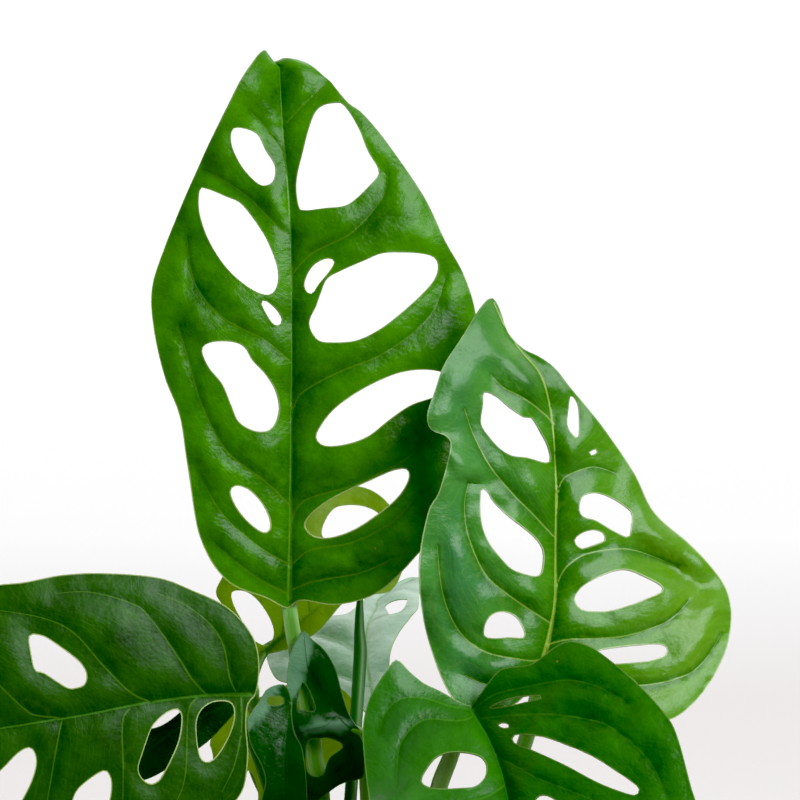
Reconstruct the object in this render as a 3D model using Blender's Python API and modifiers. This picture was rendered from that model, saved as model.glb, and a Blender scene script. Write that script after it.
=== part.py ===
# Swiss cheese vine, Monstera adansonii, growing in a plain clay pot.
# Blender works in metres with +Z up. The origin is the centre of the pot's foot.
# Lengths of the plant and pot are named here in millimetres and turned to metres by MM.

import math

import bpy
import numpy as np
from mathutils import Euler, Matrix, Vector
from mathutils.geometry import delaunay_2d_cdt

MM = 0.001

# Driving dimensions, in millimetres.
POT_HEIGHT = 110.0
POT_MOUTH_RADIUS = 60.0
POT_FOOT_RADIUS = 41.0
POT_WALL = 4.5
POT_FLOOR = 6.0
POT_RIM_HEIGHT = 21.0
POT_RIM_OUT = 3.0
DRAIN_RADIUS = 5.0
DRAIN_CIRCLE = 22.0
DRAIN_HOLES = 4
SOIL_LEVEL = 97.0
SOIL_LUMP = 1.6
CLEARANCE = 0.35
BLADE_THICKNESS = 0.7
VEIN_QUILT = 1.1
VEIN_REACH = 4.5
OUTLINE_STEP = 4.4
HOLE_STEP = 3.0
MIDRIB_STEP = 6.0
INNER_STEP = 8.5
SOCKET_CLEARANCE = 0.6

# The plant is laid out as seen from the front by an eye that looks down by this angle.
FRONT_TILT = math.radians(5)

# Colours as linear red, green and blue, with roughness.
LEAF_GREEN = ((0.035, 0.150, 0.014), 0.38)
STALK_GREEN = ((0.130, 0.300, 0.040), 0.45)
STEM_GREEN = ((0.090, 0.200, 0.035), 0.55)
CLAY = ((0.480, 0.205, 0.110), 0.85)
POTTING_SOIL = ((0.032, 0.020, 0.013), 0.95)


def from_front(right, up, toward):
    """A point in millimetres, given as it is seen from the front."""
    y = up * math.sin(FRONT_TILT) - toward * math.cos(FRONT_TILT)
    z = up * math.cos(FRONT_TILT) + toward * math.sin(FRONT_TILT)
    return Vector((right, y, z))


# Curves through a few points

def smooth_line(points, step, closed=False):
    """Points about a step apart on a smooth curve through the given ones."""
    knots = np.asarray(points, float)
    count = len(knots)
    spans = count if closed else count - 1
    fine = []
    for i in range(spans):
        if closed:
            p0, p1, p2, p3 = (knots[(i + k) % count] for k in (-1, 0, 1, 2))
        else:
            p0, p1, p2, p3 = (knots[min(max(i + k, 0), count - 1)] for k in (-1, 0, 1, 2))
        for t in np.linspace(0, 1, 12, endpoint=False):
            bend = p0 * (-t + 2 * t**2 - t**3) + p1 * (2 - 5 * t**2 + 3 * t**3)
            bend = bend + p2 * (t + 4 * t**2 - 3 * t**3) + p3 * (t**3 - t**2)
            fine.append(bend / 2)
    fine.append(knots[0] if closed else knots[-1])
    fine = np.array(fine)
    run = np.concatenate([[0], np.cumsum(np.linalg.norm(np.diff(fine, axis=0), axis=1))])
    pieces = max(6 if closed else 2, round(run[-1] / step))
    at = np.linspace(0, run[-1], pieces + 1)
    even = np.stack([np.interp(at, run, fine[:, k]) for k in range(fine.shape[1])], axis=1)
    return even[:-1] if closed else even


def smooth_value(at, knots):
    """A smooth curve of one value through (place, value) knots, level past both ends."""
    places, values = np.array(knots, float).T
    slopes = np.gradient(values, places)
    slopes[0] = slopes[-1] = 0
    at = np.clip(at, places[0], places[-1])
    i = np.clip(np.searchsorted(places, at) - 1, 0, len(places) - 2)
    gap = places[i + 1] - places[i]
    t = (at - places[i]) / gap
    rise = values[i] * (1 + 2 * t) * (1 - t) ** 2 + values[i + 1] * t**2 * (3 - 2 * t)
    return rise + gap * (slopes[i] * t * (1 - t) ** 2 - slopes[i + 1] * t**2 * (1 - t))


def inside(points, loop):
    """True for each point that the closed loop goes round."""
    x, y = points.T
    found = np.zeros(len(points), bool)
    for (x0, y0), (x1, y1) in zip(loop, np.roll(loop, -1, axis=0)):
        spans = (y0 > y) != (y1 > y)
        cut = x0 + (y - y0) * (x1 - x0) / np.where(y1 == y0, 1e-12, y1 - y0)
        found ^= spans & (x < cut)
    return found


def nearest(points, line):
    """Distance to an open line, the run along it to the foot, and the side (right is +1)."""
    best = np.full(len(points), 1e9)
    run, side = np.zeros(len(points)), np.ones(len(points))
    walked = 0.0
    for a, b in zip(line[:-1], line[1:]):
        along = b - a
        length = np.linalg.norm(along)
        t = np.clip((points - a) @ along / length**2, 0, 1)
        away = points - a - t[:, None] * along
        gap = np.linalg.norm(away, axis=1)
        turn = away[:, 0] * along[1] - away[:, 1] * along[0]
        closer = gap < best
        best = np.where(closer, gap, best)
        run = np.where(closer, walked + t * length, run)
        side = np.where(closer, np.where(turn >= 0, 1.0, -1.0), side)
        walked += length
    return best, run, side


# A leaf blade: a flat outline with holes, raised into its real form

def midrib_place(points, leaf):
    """The run along the midrib from the leaf's base, and the distance to its right."""
    rib = smooth_line(leaf["midrib"], 2.0)
    tail = 80.0
    first = rib[0] - (rib[1] - rib[0]) / np.linalg.norm(rib[1] - rib[0]) * tail
    last = rib[-1] + (rib[-1] - rib[-2]) / np.linalg.norm(rib[-1] - rib[-2]) * tail
    away, run, side = nearest(points, np.vstack([first, rib, last]))
    return run - tail, away * side


def blade_relief(points, leaf):
    """How far each point of the flat leaf stands towards the viewer, in millimetres."""
    run, right = midrib_place(points, leaf)
    off = np.abs(right)
    slope, droop = (
        np.where(right > 0, smooth_value(run, leaf["right_" + key]),
                 smooth_value(run, leaf["left_" + key]))
        for key in ("slope", "droop")
    )
    height = smooth_value(run, leaf["arch"]) + slope * off - droop * (off / 30) ** 2
    to_vein = off
    for vein in leaf["veins"]:
        to_vein = np.minimum(to_vein, nearest(points, smooth_line(vein, 3.0))[0])
    height = height + leaf.get("quilt", 1.0) * VEIN_QUILT * (1 - np.exp(-((to_vein / VEIN_REACH) ** 2)))
    for x, y, long_radius, short_radius, angle, rise in leaf.get("swells", []):
        dx, dy = points[:, 0] - x, points[:, 1] - y
        c, s = math.cos(math.radians(angle)), math.sin(math.radians(angle))
        u, v = (dx * c + dy * s) / long_radius, (dy * c - dx * s) / short_radius
        height = height + rise * np.exp(-(u**2) - v**2)
    for x0, y0, x1, y1, rise in leaf.get("creases", []):
        length = math.hypot(x1 - x0, y1 - y0)
        beyond = ((x1 - x0) * (points[:, 1] - y0) - (y1 - y0) * (points[:, 0] - x0)) / length
        height = height + rise * np.maximum(beyond, 0)
    return height


def roll_back(form, roll):
    """Bends all past a line round a rod behind the leaf, or in front where the radius is negative."""
    x, y, angle, radius, most = roll
    toward = np.array((math.cos(math.radians(angle)), math.sin(math.radians(angle))))
    past = (form[:, :2] - (x, y)) @ toward
    turn = np.clip(past / abs(radius), 0, math.radians(most))
    beyond = np.maximum(past - abs(radius) * math.radians(most), 0)
    sign = math.copysign(1, radius)
    lift = abs(radius) + sign * form[:, 2]
    reach = lift * np.sin(turn) + beyond * np.cos(turn)
    depth = lift * np.cos(turn) - abs(radius) - beyond * np.sin(turn)
    bent = form.copy()
    bent[:, :2] += np.where(past > 0, reach - past, 0)[:, None] * toward
    bent[:, 2] = np.where(past > 0, sign * depth, form[:, 2])
    return bent


def blade_form(points, leaf):
    """The leaf's points in space, in millimetres from its base."""
    form = np.column_stack([points, blade_relief(points, leaf)])
    for roll in leaf.get("rolls", []):
        form = roll_back(form, roll)
    return form * leaf.get("size", 1.0)


def blade_points(leaf, outline, holes):
    """Points inside the leaf: along its midrib and veins first, then spread between them."""
    rims = np.vstack([outline, *holes])
    lines = [smooth_line(leaf["midrib"], MIDRIB_STEP)]
    lines += [smooth_line(vein, MIDRIB_STEP) for vein in leaf["veins"]]
    low, high = outline.min(axis=0), outline.max(axis=0)
    rows = np.arange(low[1], high[1], INNER_STEP * math.sqrt(3) / 2)
    spread = []
    for k, y in enumerate(rows):
        shift = INNER_STEP / 2 * (k % 2)
        spread += [(x + shift, y) for x in np.arange(low[0], high[0], INNER_STEP)]
    kept = []
    groups = [(line, 0.45 * MIDRIB_STEP) for line in lines] + [(np.array(spread), 0.62 * INNER_STEP)]
    for group, room in groups:
        allowed = inside(group, outline)
        for hole in holes:
            allowed &= ~inside(group, hole)
        for point in group[allowed]:
            others = np.vstack([rims, *kept]) if kept else rims
            if np.linalg.norm(others - point, axis=1).min() > room:
                kept.append(point[None])
    return np.vstack(kept)


def blade_sheet(leaf):
    """The blade as an open sheet: its points in space and its triangles."""
    outline = smooth_line(leaf["outline"], OUTLINE_STEP, closed=True)
    holes = [smooth_line(hole, HOLE_STEP, closed=True) for hole in leaf["holes"]]
    inner = blade_points(leaf, outline, holes)
    flat = np.vstack([outline, *holes, inner])
    edges, first = [], 0
    for loop in [outline, *holes]:
        size = len(loop)
        edges += [(first + i, first + (i + 1) % size) for i in range(size)]
        first += size
    found = delaunay_2d_cdt([Vector(p) for p in flat], edges, [], 0, 1e-6, False)
    points = np.array([tuple(p) for p in found[0]])
    faces = np.array(found[2])
    middle = points[faces].mean(axis=1)
    kept = inside(middle, outline)
    for hole in holes:
        kept &= ~inside(middle, hole)
    return blade_form(points, leaf), faces[kept]


# Leaves seen from the front. Places are in millimetres from the blade's base, across and up.

TALL_LEAF = {
    "base": (-17.5, 205.75, 13),
    "midrib": [(0, 0), (0.25, 14), (0.5, 37), (0.75, 62), (0.5, 87), (-0.5, 104), (-1.75, 119),
        (-2.5, 135), (-2, 155)],
    "outline": [(-0.5, -2.5), (-5.5, 0), (-15.5, 4.5), (-22, 15), (-25, 32), (-27, 45),
        (-30.75, 55), (-33.5, 67), (-34, 77), (-31, 87), (-27, 97), (-21, 110.5), (-14.7, 123),
        (-12, 128.4), (-8.9, 133.2), (-6, 137), (-3.8, 141), (-4.2, 147), (-2, 155), (0, 147),
        (3.5, 139.5), (8.5, 131), (14.2, 123.4), (18.3, 120.2), (24.75, 112.4), (33.5, 99.5),
        (38.5, 89), (43, 81), (46, 72), (47, 62), (45.5, 50), (42.5, 36), (36.5, 18), (31, 10),
        (22, 1.5), (12, -1.5), (3, -0.5)],
    "holes": [[(-14.25, 115.75), (-12.5, 116.75), (-8, 115.25), (-5.75, 111), (-3.5, 107.25),
        (-4, 103.5), (-7, 102.5), (-11.25, 106.5), (-14, 111.75)], [(6.5, 120.75), (11.8, 123),
        (14.2, 121.6), (17.3, 116.5), (19.5, 111), (22.25, 106), (20.5, 103), (14.75, 97.75),
        (9, 96.75), (3.5, 96.25), (2.25, 97.75), (1.75, 103), (3, 109.25)], [(-22.25, 101.25),
        (-20.75, 101.75), (-15.75, 99.75), (-11.75, 97.75), (-7, 91.5), (-4.5, 86.75),
        (-2.75, 81.5), (-3, 77.25), (-5.25, 75.25), (-9.75, 77), (-15.25, 81.75), (-19.75, 88.5),
        (-22.25, 95.5)], [(-6.75, 73), (-5.75, 73.75), (-3.25, 71.75), (-1.75, 69.25),
        (-2.5, 67.75), (-4.25, 68.5)], [(3.75, 77.5), (4.5, 80.25), (6.25, 82.75), (9.25, 84.25),
        (11.25, 83.5), (10, 81), (7.5, 78), (6, 75.75), (4.75, 75.75)], [(9.5, 79.25), (13, 81.25),
        (18.75, 83.75), (23, 85.5), (27.5, 85.75), (32.75, 85.5), (36, 84.5), (37, 82.25), (36, 79),
        (32.5, 75), (27.5, 70.5), (22.5, 66.75), (16.75, 64), (10.75, 63.5), (7, 64.25), (5, 68.25),
        (6.75, 72.5), (8, 76)], [(-21.5, 61.25), (-20.5, 63), (-17.5, 63.75), (-13.25, 63.5),
        (-10.75, 62), (-9, 59), (-5.75, 55.5), (-3.25, 51.25), (-2.5, 46.5), (-4.25, 42.25),
        (-8, 41.5), (-12.25, 43.75), (-14.25, 48), (-16.5, 53.25), (-19.75, 57.25)], [(6.75, 40),
        (8, 43), (11, 46.75), (15.5, 50.25), (21.25, 53.5), (27.5, 56), (33.75, 56.75),
        (38.75, 55.75), (39.75, 53), (36.5, 50.25), (30.25, 48), (25, 44.5), (19.5, 40.25),
        (13.75, 38.25), (8.75, 38)], [(-14.5, 26.5), (-13, 28), (-10, 27), (-7, 24), (-5, 20.25),
        (-4.75, 17.25), (-6.5, 16.5), (-10, 19), (-13, 22.75)], [(4, 17.75), (4.75, 20), (8, 23),
        (13.5, 26.25), (20, 29.25), (25.75, 31.75), (29.25, 32), (29.5, 29.25), (26.75, 25),
        (22, 21), (16.25, 17.25), (10.5, 15.25), (6.25, 15.5)]],
    "veins": [[(1, 80.5), (6, 85.75), (15.75, 90.75), (23.25, 99.5), (24.5, 105.5)], [(1, 46.25),
        (3.25, 51), (12, 56), (24.25, 61.25), (35, 70.25), (39, 80.5)], [(0.75, 19.25), (4, 24.5),
        (16, 28.25), (28.75, 34.75), (36.5, 41.75)], [(0.25, 7.75), (5.25, 12), (16, 14),
        (26.25, 19.5), (32.5, 26.75)], [(0, 1.75), (6, 4.25), (18, 6.5), (26.25, 10.25)],
        [(-1.5, 117), (3, 122), (8, 127)], [(0, 59), (-6.25, 64.25), (-16.5, 69.75), (-23.25, 78),
        (-25.5, 89.75)], [(-0.25, 23.5), (-5.5, 28.75), (-15.5, 36.75), (-21.5, 48), (-25, 59.5),
        (-27.5, 68)], [(-0.25, 8.5), (-8, 13.25), (-16.75, 21.25), (-22.5, 31.75)], [(-0.5, 1.25),
        (-8.75, 5.75), (-18, 13.25)], [(0.25, 89.25), (-6.25, 95.75), (-10, 99.5), (-17, 104.25),
        (-21.25, 106.25)], [(-0.75, 109.25), (-6, 117), (-10, 121)]],
    "arch": [(-10, -1), (0, 0), (35, 3), (75, 5), (110, 2), (135, -3)],
    "right_slope": [(0, 0.1), (60, 0.14), (115, 0.1), (132, 0.03)],
    "left_slope": [(0, 0.08), (60, 0.12), (115, 0.08), (132, 0.65)],
    "right_droop": [(0, 2), (60, 6), (130, 5)],
    "left_droop": [(0, 3), (60, 5), (130, 5)],
    "rolls": [(-6.8, 133.3, 73.7, 4.85, 150)],
}

CREASED_LEAF = {
    "base": (45.4, 191.9, 30),
    "size": 0.984,
    "midrib": [(0, 0), (1.25, 4.75), (2.75, 13.5), (3, 24), (3, 47), (2.25, 57.5), (0.75, 66),
        (-1.5, 71.5), (-5, 75.5), (-9, 81), (-12.5, 88.5)],
    "outline": [(0, -2.5), (2.75, -5.75), (10.25, -13.25), (21.5, -17), (32, -15.75), (39.75, -9.5),
        (45.75, 0.25), (47.5, 9.25), (46.25, 16.5), (42.5, 22), (36.75, 28), (28, 35.75),
        (22.75, 46), (14.75, 57.5), (6.75, 67.25), (3, 72), (-1, 75), (-5, 77), (-8.75, 80.75),
        (-11, 87), (-13, 89.75), (-16, 87), (-21.25, 78.75), (-25, 73), (-27, 67.25),
        (-29.25, 60.5), (-28.25, 56.75), (-24.5, 55), (-23.5, 52), (-26.25, 41.5), (-29, 36.25),
        (-31.25, 23.75), (-30.25, 10), (-26.75, -2.5), (-22.5, -10.75), (-18.25, -13.25),
        (-12.25, -13.75), (-6, -10.75), (-1.5, -4.5)],
    "holes": [[(-15, 66), (-12, 65), (-8.75, 62.25), (-5, 59.75), (-3, 59.5), (-1, 56.25),
        (1, 52.25), (1.25, 48.5), (-4.25, 49.75), (-8, 50.25), (-11, 52), (-13.75, 55),
        (-15.75, 58.25), (-15.25, 63)], [(-15.75, 41.5), (-14.25, 41.25), (-12.75, 38.75),
        (-9.5, 35.5), (-5, 32), (-1.75, 29), (-0.25, 26), (-0.5, 21.75), (-1.5, 20.25), (-4, 20.5),
        (-8, 22), (-11, 25), (-14, 29), (-15.75, 34.25)], [(-14.25, 9.25), (-12.75, 10.75),
        (-10.25, 11.25), (-7.5, 10.25), (-5.75, 8), (-5, 5), (-8.75, 5), (-12.5, 4.75),
        (-14.75, 5.25), (-15, 7)], [(6.75, 65), (7.75, 64.5), (8.75, 62), (8.75, 55), (7, 55.75),
        (6, 58), (6.25, 61.5)], [(11.5, 51), (13.25, 51.75), (13.5, 51), (12.25, 50.25)],
        [(10.25, 40.25), (13.25, 40.75), (17, 39.5), (20.25, 37.5), (22.25, 35.5), (22, 32),
        (21.25, 29.75), (17.25, 31.5), (13, 34), (10.25, 34.75), (9, 36.25), (9.25, 38.75)],
        [(7.75, 29), (9.5, 30.75), (12.25, 31.5), (14.75, 30.75), (15.5, 29.25), (14.5, 28.5),
        (11.75, 27.5), (9.25, 27)], [(7.75, 14.25), (9.5, 17.25), (13.25, 19.5), (17, 21),
        (20.5, 21.5), (24.25, 20.25), (30, 16.75), (25, 14), (17, 11.5), (13.25, 11.25),
        (9.5, 11.75)], [(11.5, 0), (14, 1.5), (19, 2.25), (25, 2.75), (29.25, 2.75), (31, 1.75),
        (30.25, 0), (27, -1), (22.75, -1.5), (14, -1.75)]],
    "veins": [[(3, 29.25), (-2.75, 35.5), (-7.25, 40), (-11.75, 45.25), (-14.5, 49), (-18, 56),
        (-20, 62)], [(2, 8), (-5, 12.75), (-10.25, 16.5), (-14.5, 20.25), (-17.5, 26), (-19.5, 32),
        (-20, 38.5), (-19, 43.5)], [(0.5, 0.5), (-2.25, -1), (-9.5, 0), (-15.25, 1.5), (-20.5, 5.5),
        (-24.25, 12.25), (-26, 19.5), (-26.75, 28)], [(2.5, 58.25), (-1.5, 62), (-5.75, 65),
        (-10.25, 67.25), (-13.5, 70.5)], [(0, -1), (-6, -5.75), (-13.5, -7), (-19.75, -4.5)],
        [(3.25, 36.25), (4.5, 43.75), (9, 46.5), (13.25, 47.25), (17.75, 45.75)], [(3, 16.75),
        (4.5, 20.5), (6.75, 23.25), (11.75, 25.75), (22, 26.5), (34, 22.25)], [(1.25, 3), (6, 4.25),
        (13.25, 4.5), (20, 5), (26.5, 6.75), (32.25, 9.25), (36.5, 13.5)], [(0.5, -1), (14, -5.75),
        (25, -7.25), (36, -4.75), (41.25, -0.25), (44.75, 5.5)]],
    "arch": [(-20, 3), (0, 0), (25, -2.5), (50, -4.6), (92, -5)],
    "right_slope": [(-15, -0.05), (5, -0.15), (30, -0.35), (60, -0.6), (85, -0.7)],
    "left_slope": [(-15, 0.06), (5, 0.25), (20, 0.34), (45, 0.34), (92, 0.34)],
    "right_droop": [(0, 2), (30, 5), (85, 2)],
    "left_droop": [(0, 3), (40, 1.5), (92, 1.5)],
    "swells": [(-24, 66, 8, 6.5, 20, 1.6), (-24, 45, 8, 6.5, 0, 1.6), (-9, 0, 7, 4, 0, 1.5),
        (36, 24, 8, 5, -30, 1.5)],
    "quilt": 1.5,
}

SIDE_LEAF = {
    "base": (-27, 182.25, 22),
    "midrib": [(0, 0), (-12.25, -0.25), (-27.5, -2.25), (-41.5, -5), (-63, -8.5), (-88, -13.75),
        (-103, -17.75), (-113, -23)],
    "outline": [(1.5, 0.5), (2.25, 8), (0.5, 14.75), (-5.5, 21.5), (-14.75, 26), (-23.25, 29),
        (-36.75, 30), (-46.75, 29.5), (-55.75, 27.75), (-63, 27), (-71.75, 25), (-81.75, 20.75),
        (-91.75, 13.25), (-100.5, 2.75), (-106.75, -8.5), (-111, -18.5), (-114.5, -25.5),
        (-109.25, -25.5), (-103, -27.5), (-93, -31.75), (-81.75, -35.25), (-70.5, -37.75),
        (-58, -39.75), (-45.5, -41), (-34.25, -40.5), (-24.25, -38.5), (-15.5, -35.5),
        (-8.5, -31.5), (-4.25, -27.25), (-1.5, -22.75), (-0.5, -15), (-1, -7.75), (-0.5, -2.5)],
    "holes": [[(-54.25, 14.5), (-52, 14.75), (-49.5, 13.75), (-43.5, 9.5), (-41.25, 7.25),
        (-40.25, 5), (-40.75, 2.75), (-42.5, 2), (-45, 2), (-50.5, 5.5), (-52.75, 6.25),
        (-53.75, 10)], [(-13.25, -9.25), (-13, -5.75), (-11.5, -3.25), (-9, -1.9), (-6, -1.75),
        (-4.5, -2.5), (-4, -4.25), (-4.25, -7), (-5.5, -10.5), (-7.5, -14), (-9.5, -16.25),
        (-11.25, -16.5), (-12.5, -14.75)], [(-17, -5.25), (-17.75, -3.75), (-19, -3.75),
        (-21, -4.75), (-23, -6.5), (-24.5, -8.75), (-26.75, -15.25), (-27.5, -18), (-27, -20),
        (-25.25, -21.75), (-23.5, -21.75), (-21.75, -20), (-18.5, -13.5), (-17.25, -9.25)],
        [(-36.25, -18.75), (-34.75, -19.75), (-34.25, -22.25), (-34.75, -26), (-36.5, -30.25),
        (-39, -33.5), (-42, -34.25), (-43.75, -31.75), (-44, -28), (-43, -24.25), (-40.5, -21.5)],
        [(-54.5, -13), (-53.25, -14), (-52.75, -16.5), (-53.5, -20), (-55.25, -24), (-58, -28.5),
        (-61.75, -32.25), (-65, -32), (-66.5, -29), (-65.5, -25), (-63, -20.5), (-60, -17.25),
        (-57, -14.25)], [(-62.25, -3.5), (-64.25, -1.5), (-69.25, 2.75), (-74.25, 6.5),
        (-77.5, 7.25), (-78, 4.75), (-75.5, 0.25), (-70.5, -3), (-65.5, -4.75)], [(-84, 11),
        (-87.5, 10.5), (-91, 5), (-92, -1), (-89.5, -3.5), (-86, 1), (-84, 6.5)], [(-75, -16),
        (-77.5, -17.5), (-79.5, -23), (-80, -28.5), (-78, -30.5), (-75, -28.5), (-73.5, -23.5),
        (-73.5, -18)]],
    "veins": [[(-3, 0), (-5, 4), (-6, 10), (-7.5, 14.25), (-11, 18.5), (-16.25, 22.25), (-23, 25)],
        [(-10.5, -0.25), (-14.25, 3.75), (-17.5, 9), (-24.25, 18.5), (-28.5, 22.25), (-39, 25.25),
        (-48, 25)], [(-24.25, -1.75), (-29.5, 0.75), (-36.25, 7.5), (-43.5, 15.5), (-52, 19.25),
        (-65.5, 21.25)], [(-46.5, -5.5), (-52, -5), (-55, -3.75), (-63, 3.75), (-69.25, 9),
        (-78, 12.75)], [(-84, -12.75), (-93, -8), (-97, -1)], [(-46.25, -5.75), (-47.75, -13.5),
        (-50, -26), (-51.5, -32.25)], [(-28.75, -2.75), (-31, -5), (-31.5, -10), (-31.25, -17.25),
        (-31.5, -27.25), (-33, -34.75)], [(-13, -0.75), (-15, -3), (-15.5, -7.75), (-16, -19.75),
        (-18, -26), (-21, -31)], [(-2.25, -0.75), (-2.25, -9), (-4, -17.5), (-7, -24)],
        [(-64.25, -8.75), (-67, -13.5), (-69.25, -21), (-71.75, -28.5)], [(-81.75, -12.5),
        (-85.5, -17.25), (-88, -24.75)]],
    "arch": [(-5, 0), (0, 0), (40, 4), (80, 2), (118, -8)],
    "right_slope": [(0, 0.1), (60, 0.12), (110, 0.1)],
    "left_slope": [(0, -0.03), (60, -0.1), (110, -0.15)],
    "right_droop": [(0, 5), (60, 6), (110, 6)],
    "left_droop": [(0, 2), (60, 2), (110, 3)],
    "quilt": 0.8,
}

FRONT_LEAF = {
    "base": (27.6, 179.2, 40),
    "size": 0.97,
    "midrib": [(0, 0), (2.5, -4), (5.25, -9), (7.5, -15.25), (9, -22.25), (10.25, -32.25),
        (11.5, -44.75), (13.25, -63.5)],
    "outline": [(0, 1), (-3.25, 2), (-8.25, 4.75), (-12, 6.5), (-15.5, 9.25), (-19, 12.5),
        (-21.5, 10), (-24.25, 6), (-26.25, 2), (-27.5, -4), (-27.25, -10.75), (-25.75, -22.25),
        (-23.5, -31), (-18.5, -39.75), (-10.5, -48.5), (-0.5, -54.75), (8.25, -59.25),
        (13.25, -64.5), (17, -59.25), (27, -53.5), (39.5, -46.5), (49, -38.5), (54, -29.75),
        (55, -22.25), (53.75, -17.25), (50.5, -5), (47.5, 0.5), (40.25, 8.25), (31.5, 15.25),
        (27, 17.25), (23.75, 17.5), (20.25, 15.75), (14.75, 11.75), (8.5, 10.75), (5.75, 9),
        (1.5, 3.25)],
    "holes": [[(-12.75, -17.25), (-11.5, -14.5), (-9.25, -11.75), (-6.5, -10.5), (-3.25, -10.25),
        (0.25, -10.75), (2.5, -11.75), (3.5, -13.75), (3, -16.25), (0.75, -18.25), (-2.75, -18.75),
        (-10, -18.75)], [(10, -6.75), (11.25, -5.75), (17, -6), (21.5, -7.25), (29.25, -10.25),
        (35.5, -14), (40.5, -17.5), (40.75, -19.25), (38.75, -19.5), (31.5, -17), (23, -12.75),
        (14.75, -9.25), (11, -8)], [(6.5, -3.5), (8, -3), (9.5, -3.75), (8, -4.25)], [(4.75, 0.75),
        (8.5, 2.6), (12, 3.5), (15.5, 3.9), (17.5, 3.8), (16, 3.1), (12, 2), (8, 1.1)],
        [(16, -22.25), (16.25, -20.75), (18.5, -20.5), (22, -22.25), (28.25, -25.25), (34.5, -28.5),
        (37.5, -31.75), (35, -33.5), (29.5, -32.75), (23.25, -30.25), (18.5, -26.5)], [(-14, -28),
        (-8, -26), (-1, -25.5), (4.5, -27), (5, -30), (0, -32.5), (-7, -33.5), (-13, -31.5)],
        [(18, -37), (24, -38.5), (29, -41), (27, -44), (21, -43), (17.5, -40)]],
    "veins": [[(1, -1.25), (-2.75, -2.75), (-11, -2.25), (-14.25, -3.75), (-17, -6.75),
        (-18.5, -10.25), (-19, -18.5)], [(7.75, -18.5), (2, -21.5), (-6.75, -22.25),
        (-14.25, -23.5), (-18, -27.25)], [(10, -31), (4.5, -34.75), (-4.25, -37), (-10.5, -39.25)],
        [(0, 0), (-5.5, 0.75), (-11.75, 2.75), (-17.75, 2.75), (-21.5, -0.25), (-23.5, -6)],
        [(1.5, -2.25), (8.5, -1.25), (19.75, -0.5), (31, -2), (35.25, -4), (43.25, -10.75),
        (47.75, -19.75)], [(0.5, 0.25), (5.75, 4), (12, 5.75), (21.5, 7.75), (26.5, 7.75),
        (32, 6.25), (38.25, 2.75)], [(6.25, -11.5), (12, -14), (16.25, -16.25), (27.5, -20.25),
        (33.25, -23), (40.75, -26)], [(9.5, -26.75), (14.5, -31.75), (22, -34.75), (32, -37.75)]],
    "arch": [(-22, -8), (0, 0), (20, 14), (40, 25), (66, 31)],
    "right_slope": [(-10, 0.3), (20, 0.42), (60, 0.3)],
    "left_slope": [(-10, 0.3), (20, 0.5), (60, 0.4)],
    "right_droop": [(0, 5), (30, 4), (60, 4)],
    "left_droop": [(0, 3), (30, 3), (60, 4)],
    "quilt": 1.2,
}

YOUNG_LEAF = {
    "base": (0.6, 171.3, 14),
    "size": 0.99,
    "midrib": [(0, 0), (-5.75, 4.75), (-10.5, 11.5), (-13.25, 16.25), (-14.25, 22), (-14.6, 26.75)],
    "outline": [(-14.6, 26.75), (-12.5, 24.5), (-9.5, 22), (-6.75, 17.5), (-5.25, 12), (-3.75, 7),
        (-2.25, 4), (0, 1), (1, -3), (0.5, -8), (0, -10.25), (-5.25, -11.75), (-9.5, -14.75),
        (-12.5, -17), (-14.3, -15.5), (-15.1, -9.25), (-15.6, -4.75), (-16.2, -1), (-17.2, 2),
        (-17.75, 5.75), (-17.7, 8.5), (-18.75, 12), (-18.75, 15.75), (-18, 20.75), (-16.5, 24.5)],
    "holes": [[(-15, 13.75), (-13.5, 12), (-11.75, 7), (-14.25, 6.75), (-16.1, 7.3),
        (-15.75, 10.75)], [(-13.5, -1), (-11.5, -0.5), (-8.25, -0.25), (-4.75, -2.25),
        (-8.25, -5.25), (-9.75, -9.25), (-12.25, -9.75), (-13.75, -8.25), (-14.1, -4.5)]],
    "veins": [[(-6.5, 5.5), (-9, 3), (-13, 2.2), (-15.5, 1)], [(-2, 1.5), (-3, -2), (-4, -6),
        (-7, -9)]],
    "arch": [(0, 0), (15, 0.4), (31, 0)],
    "right_slope": [(0, 0.1), (30, 0.1)],
    "left_slope": [(0, -0.08), (30, -0.08)],
    "right_droop": [(0, 2), (30, 2)],
    "left_droop": [(0, 0), (30, 0)],
    "swells": [(-9.2, 2.9, 8, 1.8, 4, 2.0)],
    "creases": [(-17.5, 8.75, -9.5, 22, 0.3)],
    "quilt": 0.6,
}

LOBED_LEAF = {
    "base": (-17.1, 180.0, 19),
    "size": 0.99,
    "midrib": [(0, 0), (-1.25, -9.25), (-1.75, -19.25), (-1.5, -31.75), (-1.5, -44.25)],
    "outline": [(0.3, 0.5), (0.2, -2.5), (1, -7.25), (2.75, -10.5), (3.5, -14), (4, -18.5),
        (4.25, -24.25), (4, -29.25), (1.75, -36.75), (-1.5, -44.25), (-5.25, -39.25),
        (-8.25, -31.75), (-7.25, -24.25), (-6.25, -19.25), (-7.25, -15.5), (-9, -12.25),
        (-10.25, -9.25), (-10.7, -4.75), (-9.6, -2), (-7.7, 0.5), (-5.75, 3.6), (-1.5, 4.6)],
    "holes": [[(-5.6, 1.5), (-2.2, 1.6), (-2, -0.25), (-5.5, -0.4)]],
    "veins": [[(-1, -8), (-4, -10), (-6, -14)], [(-1.7, -18), (1, -22), (2, -28)], [(-1.7, -24),
        (-5, -29), (-6, -34)]],
    "arch": [(0, 0), (20, 1.5), (46, -5)],
    "right_slope": [(0, 0), (46, -0.1)],
    "left_slope": [(0, 0), (46, -0.1)],
    "right_droop": [(0, 2), (46, 4)],
    "left_droop": [(0, 2), (46, 4)],
    "quilt": 0.5,
}

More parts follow.
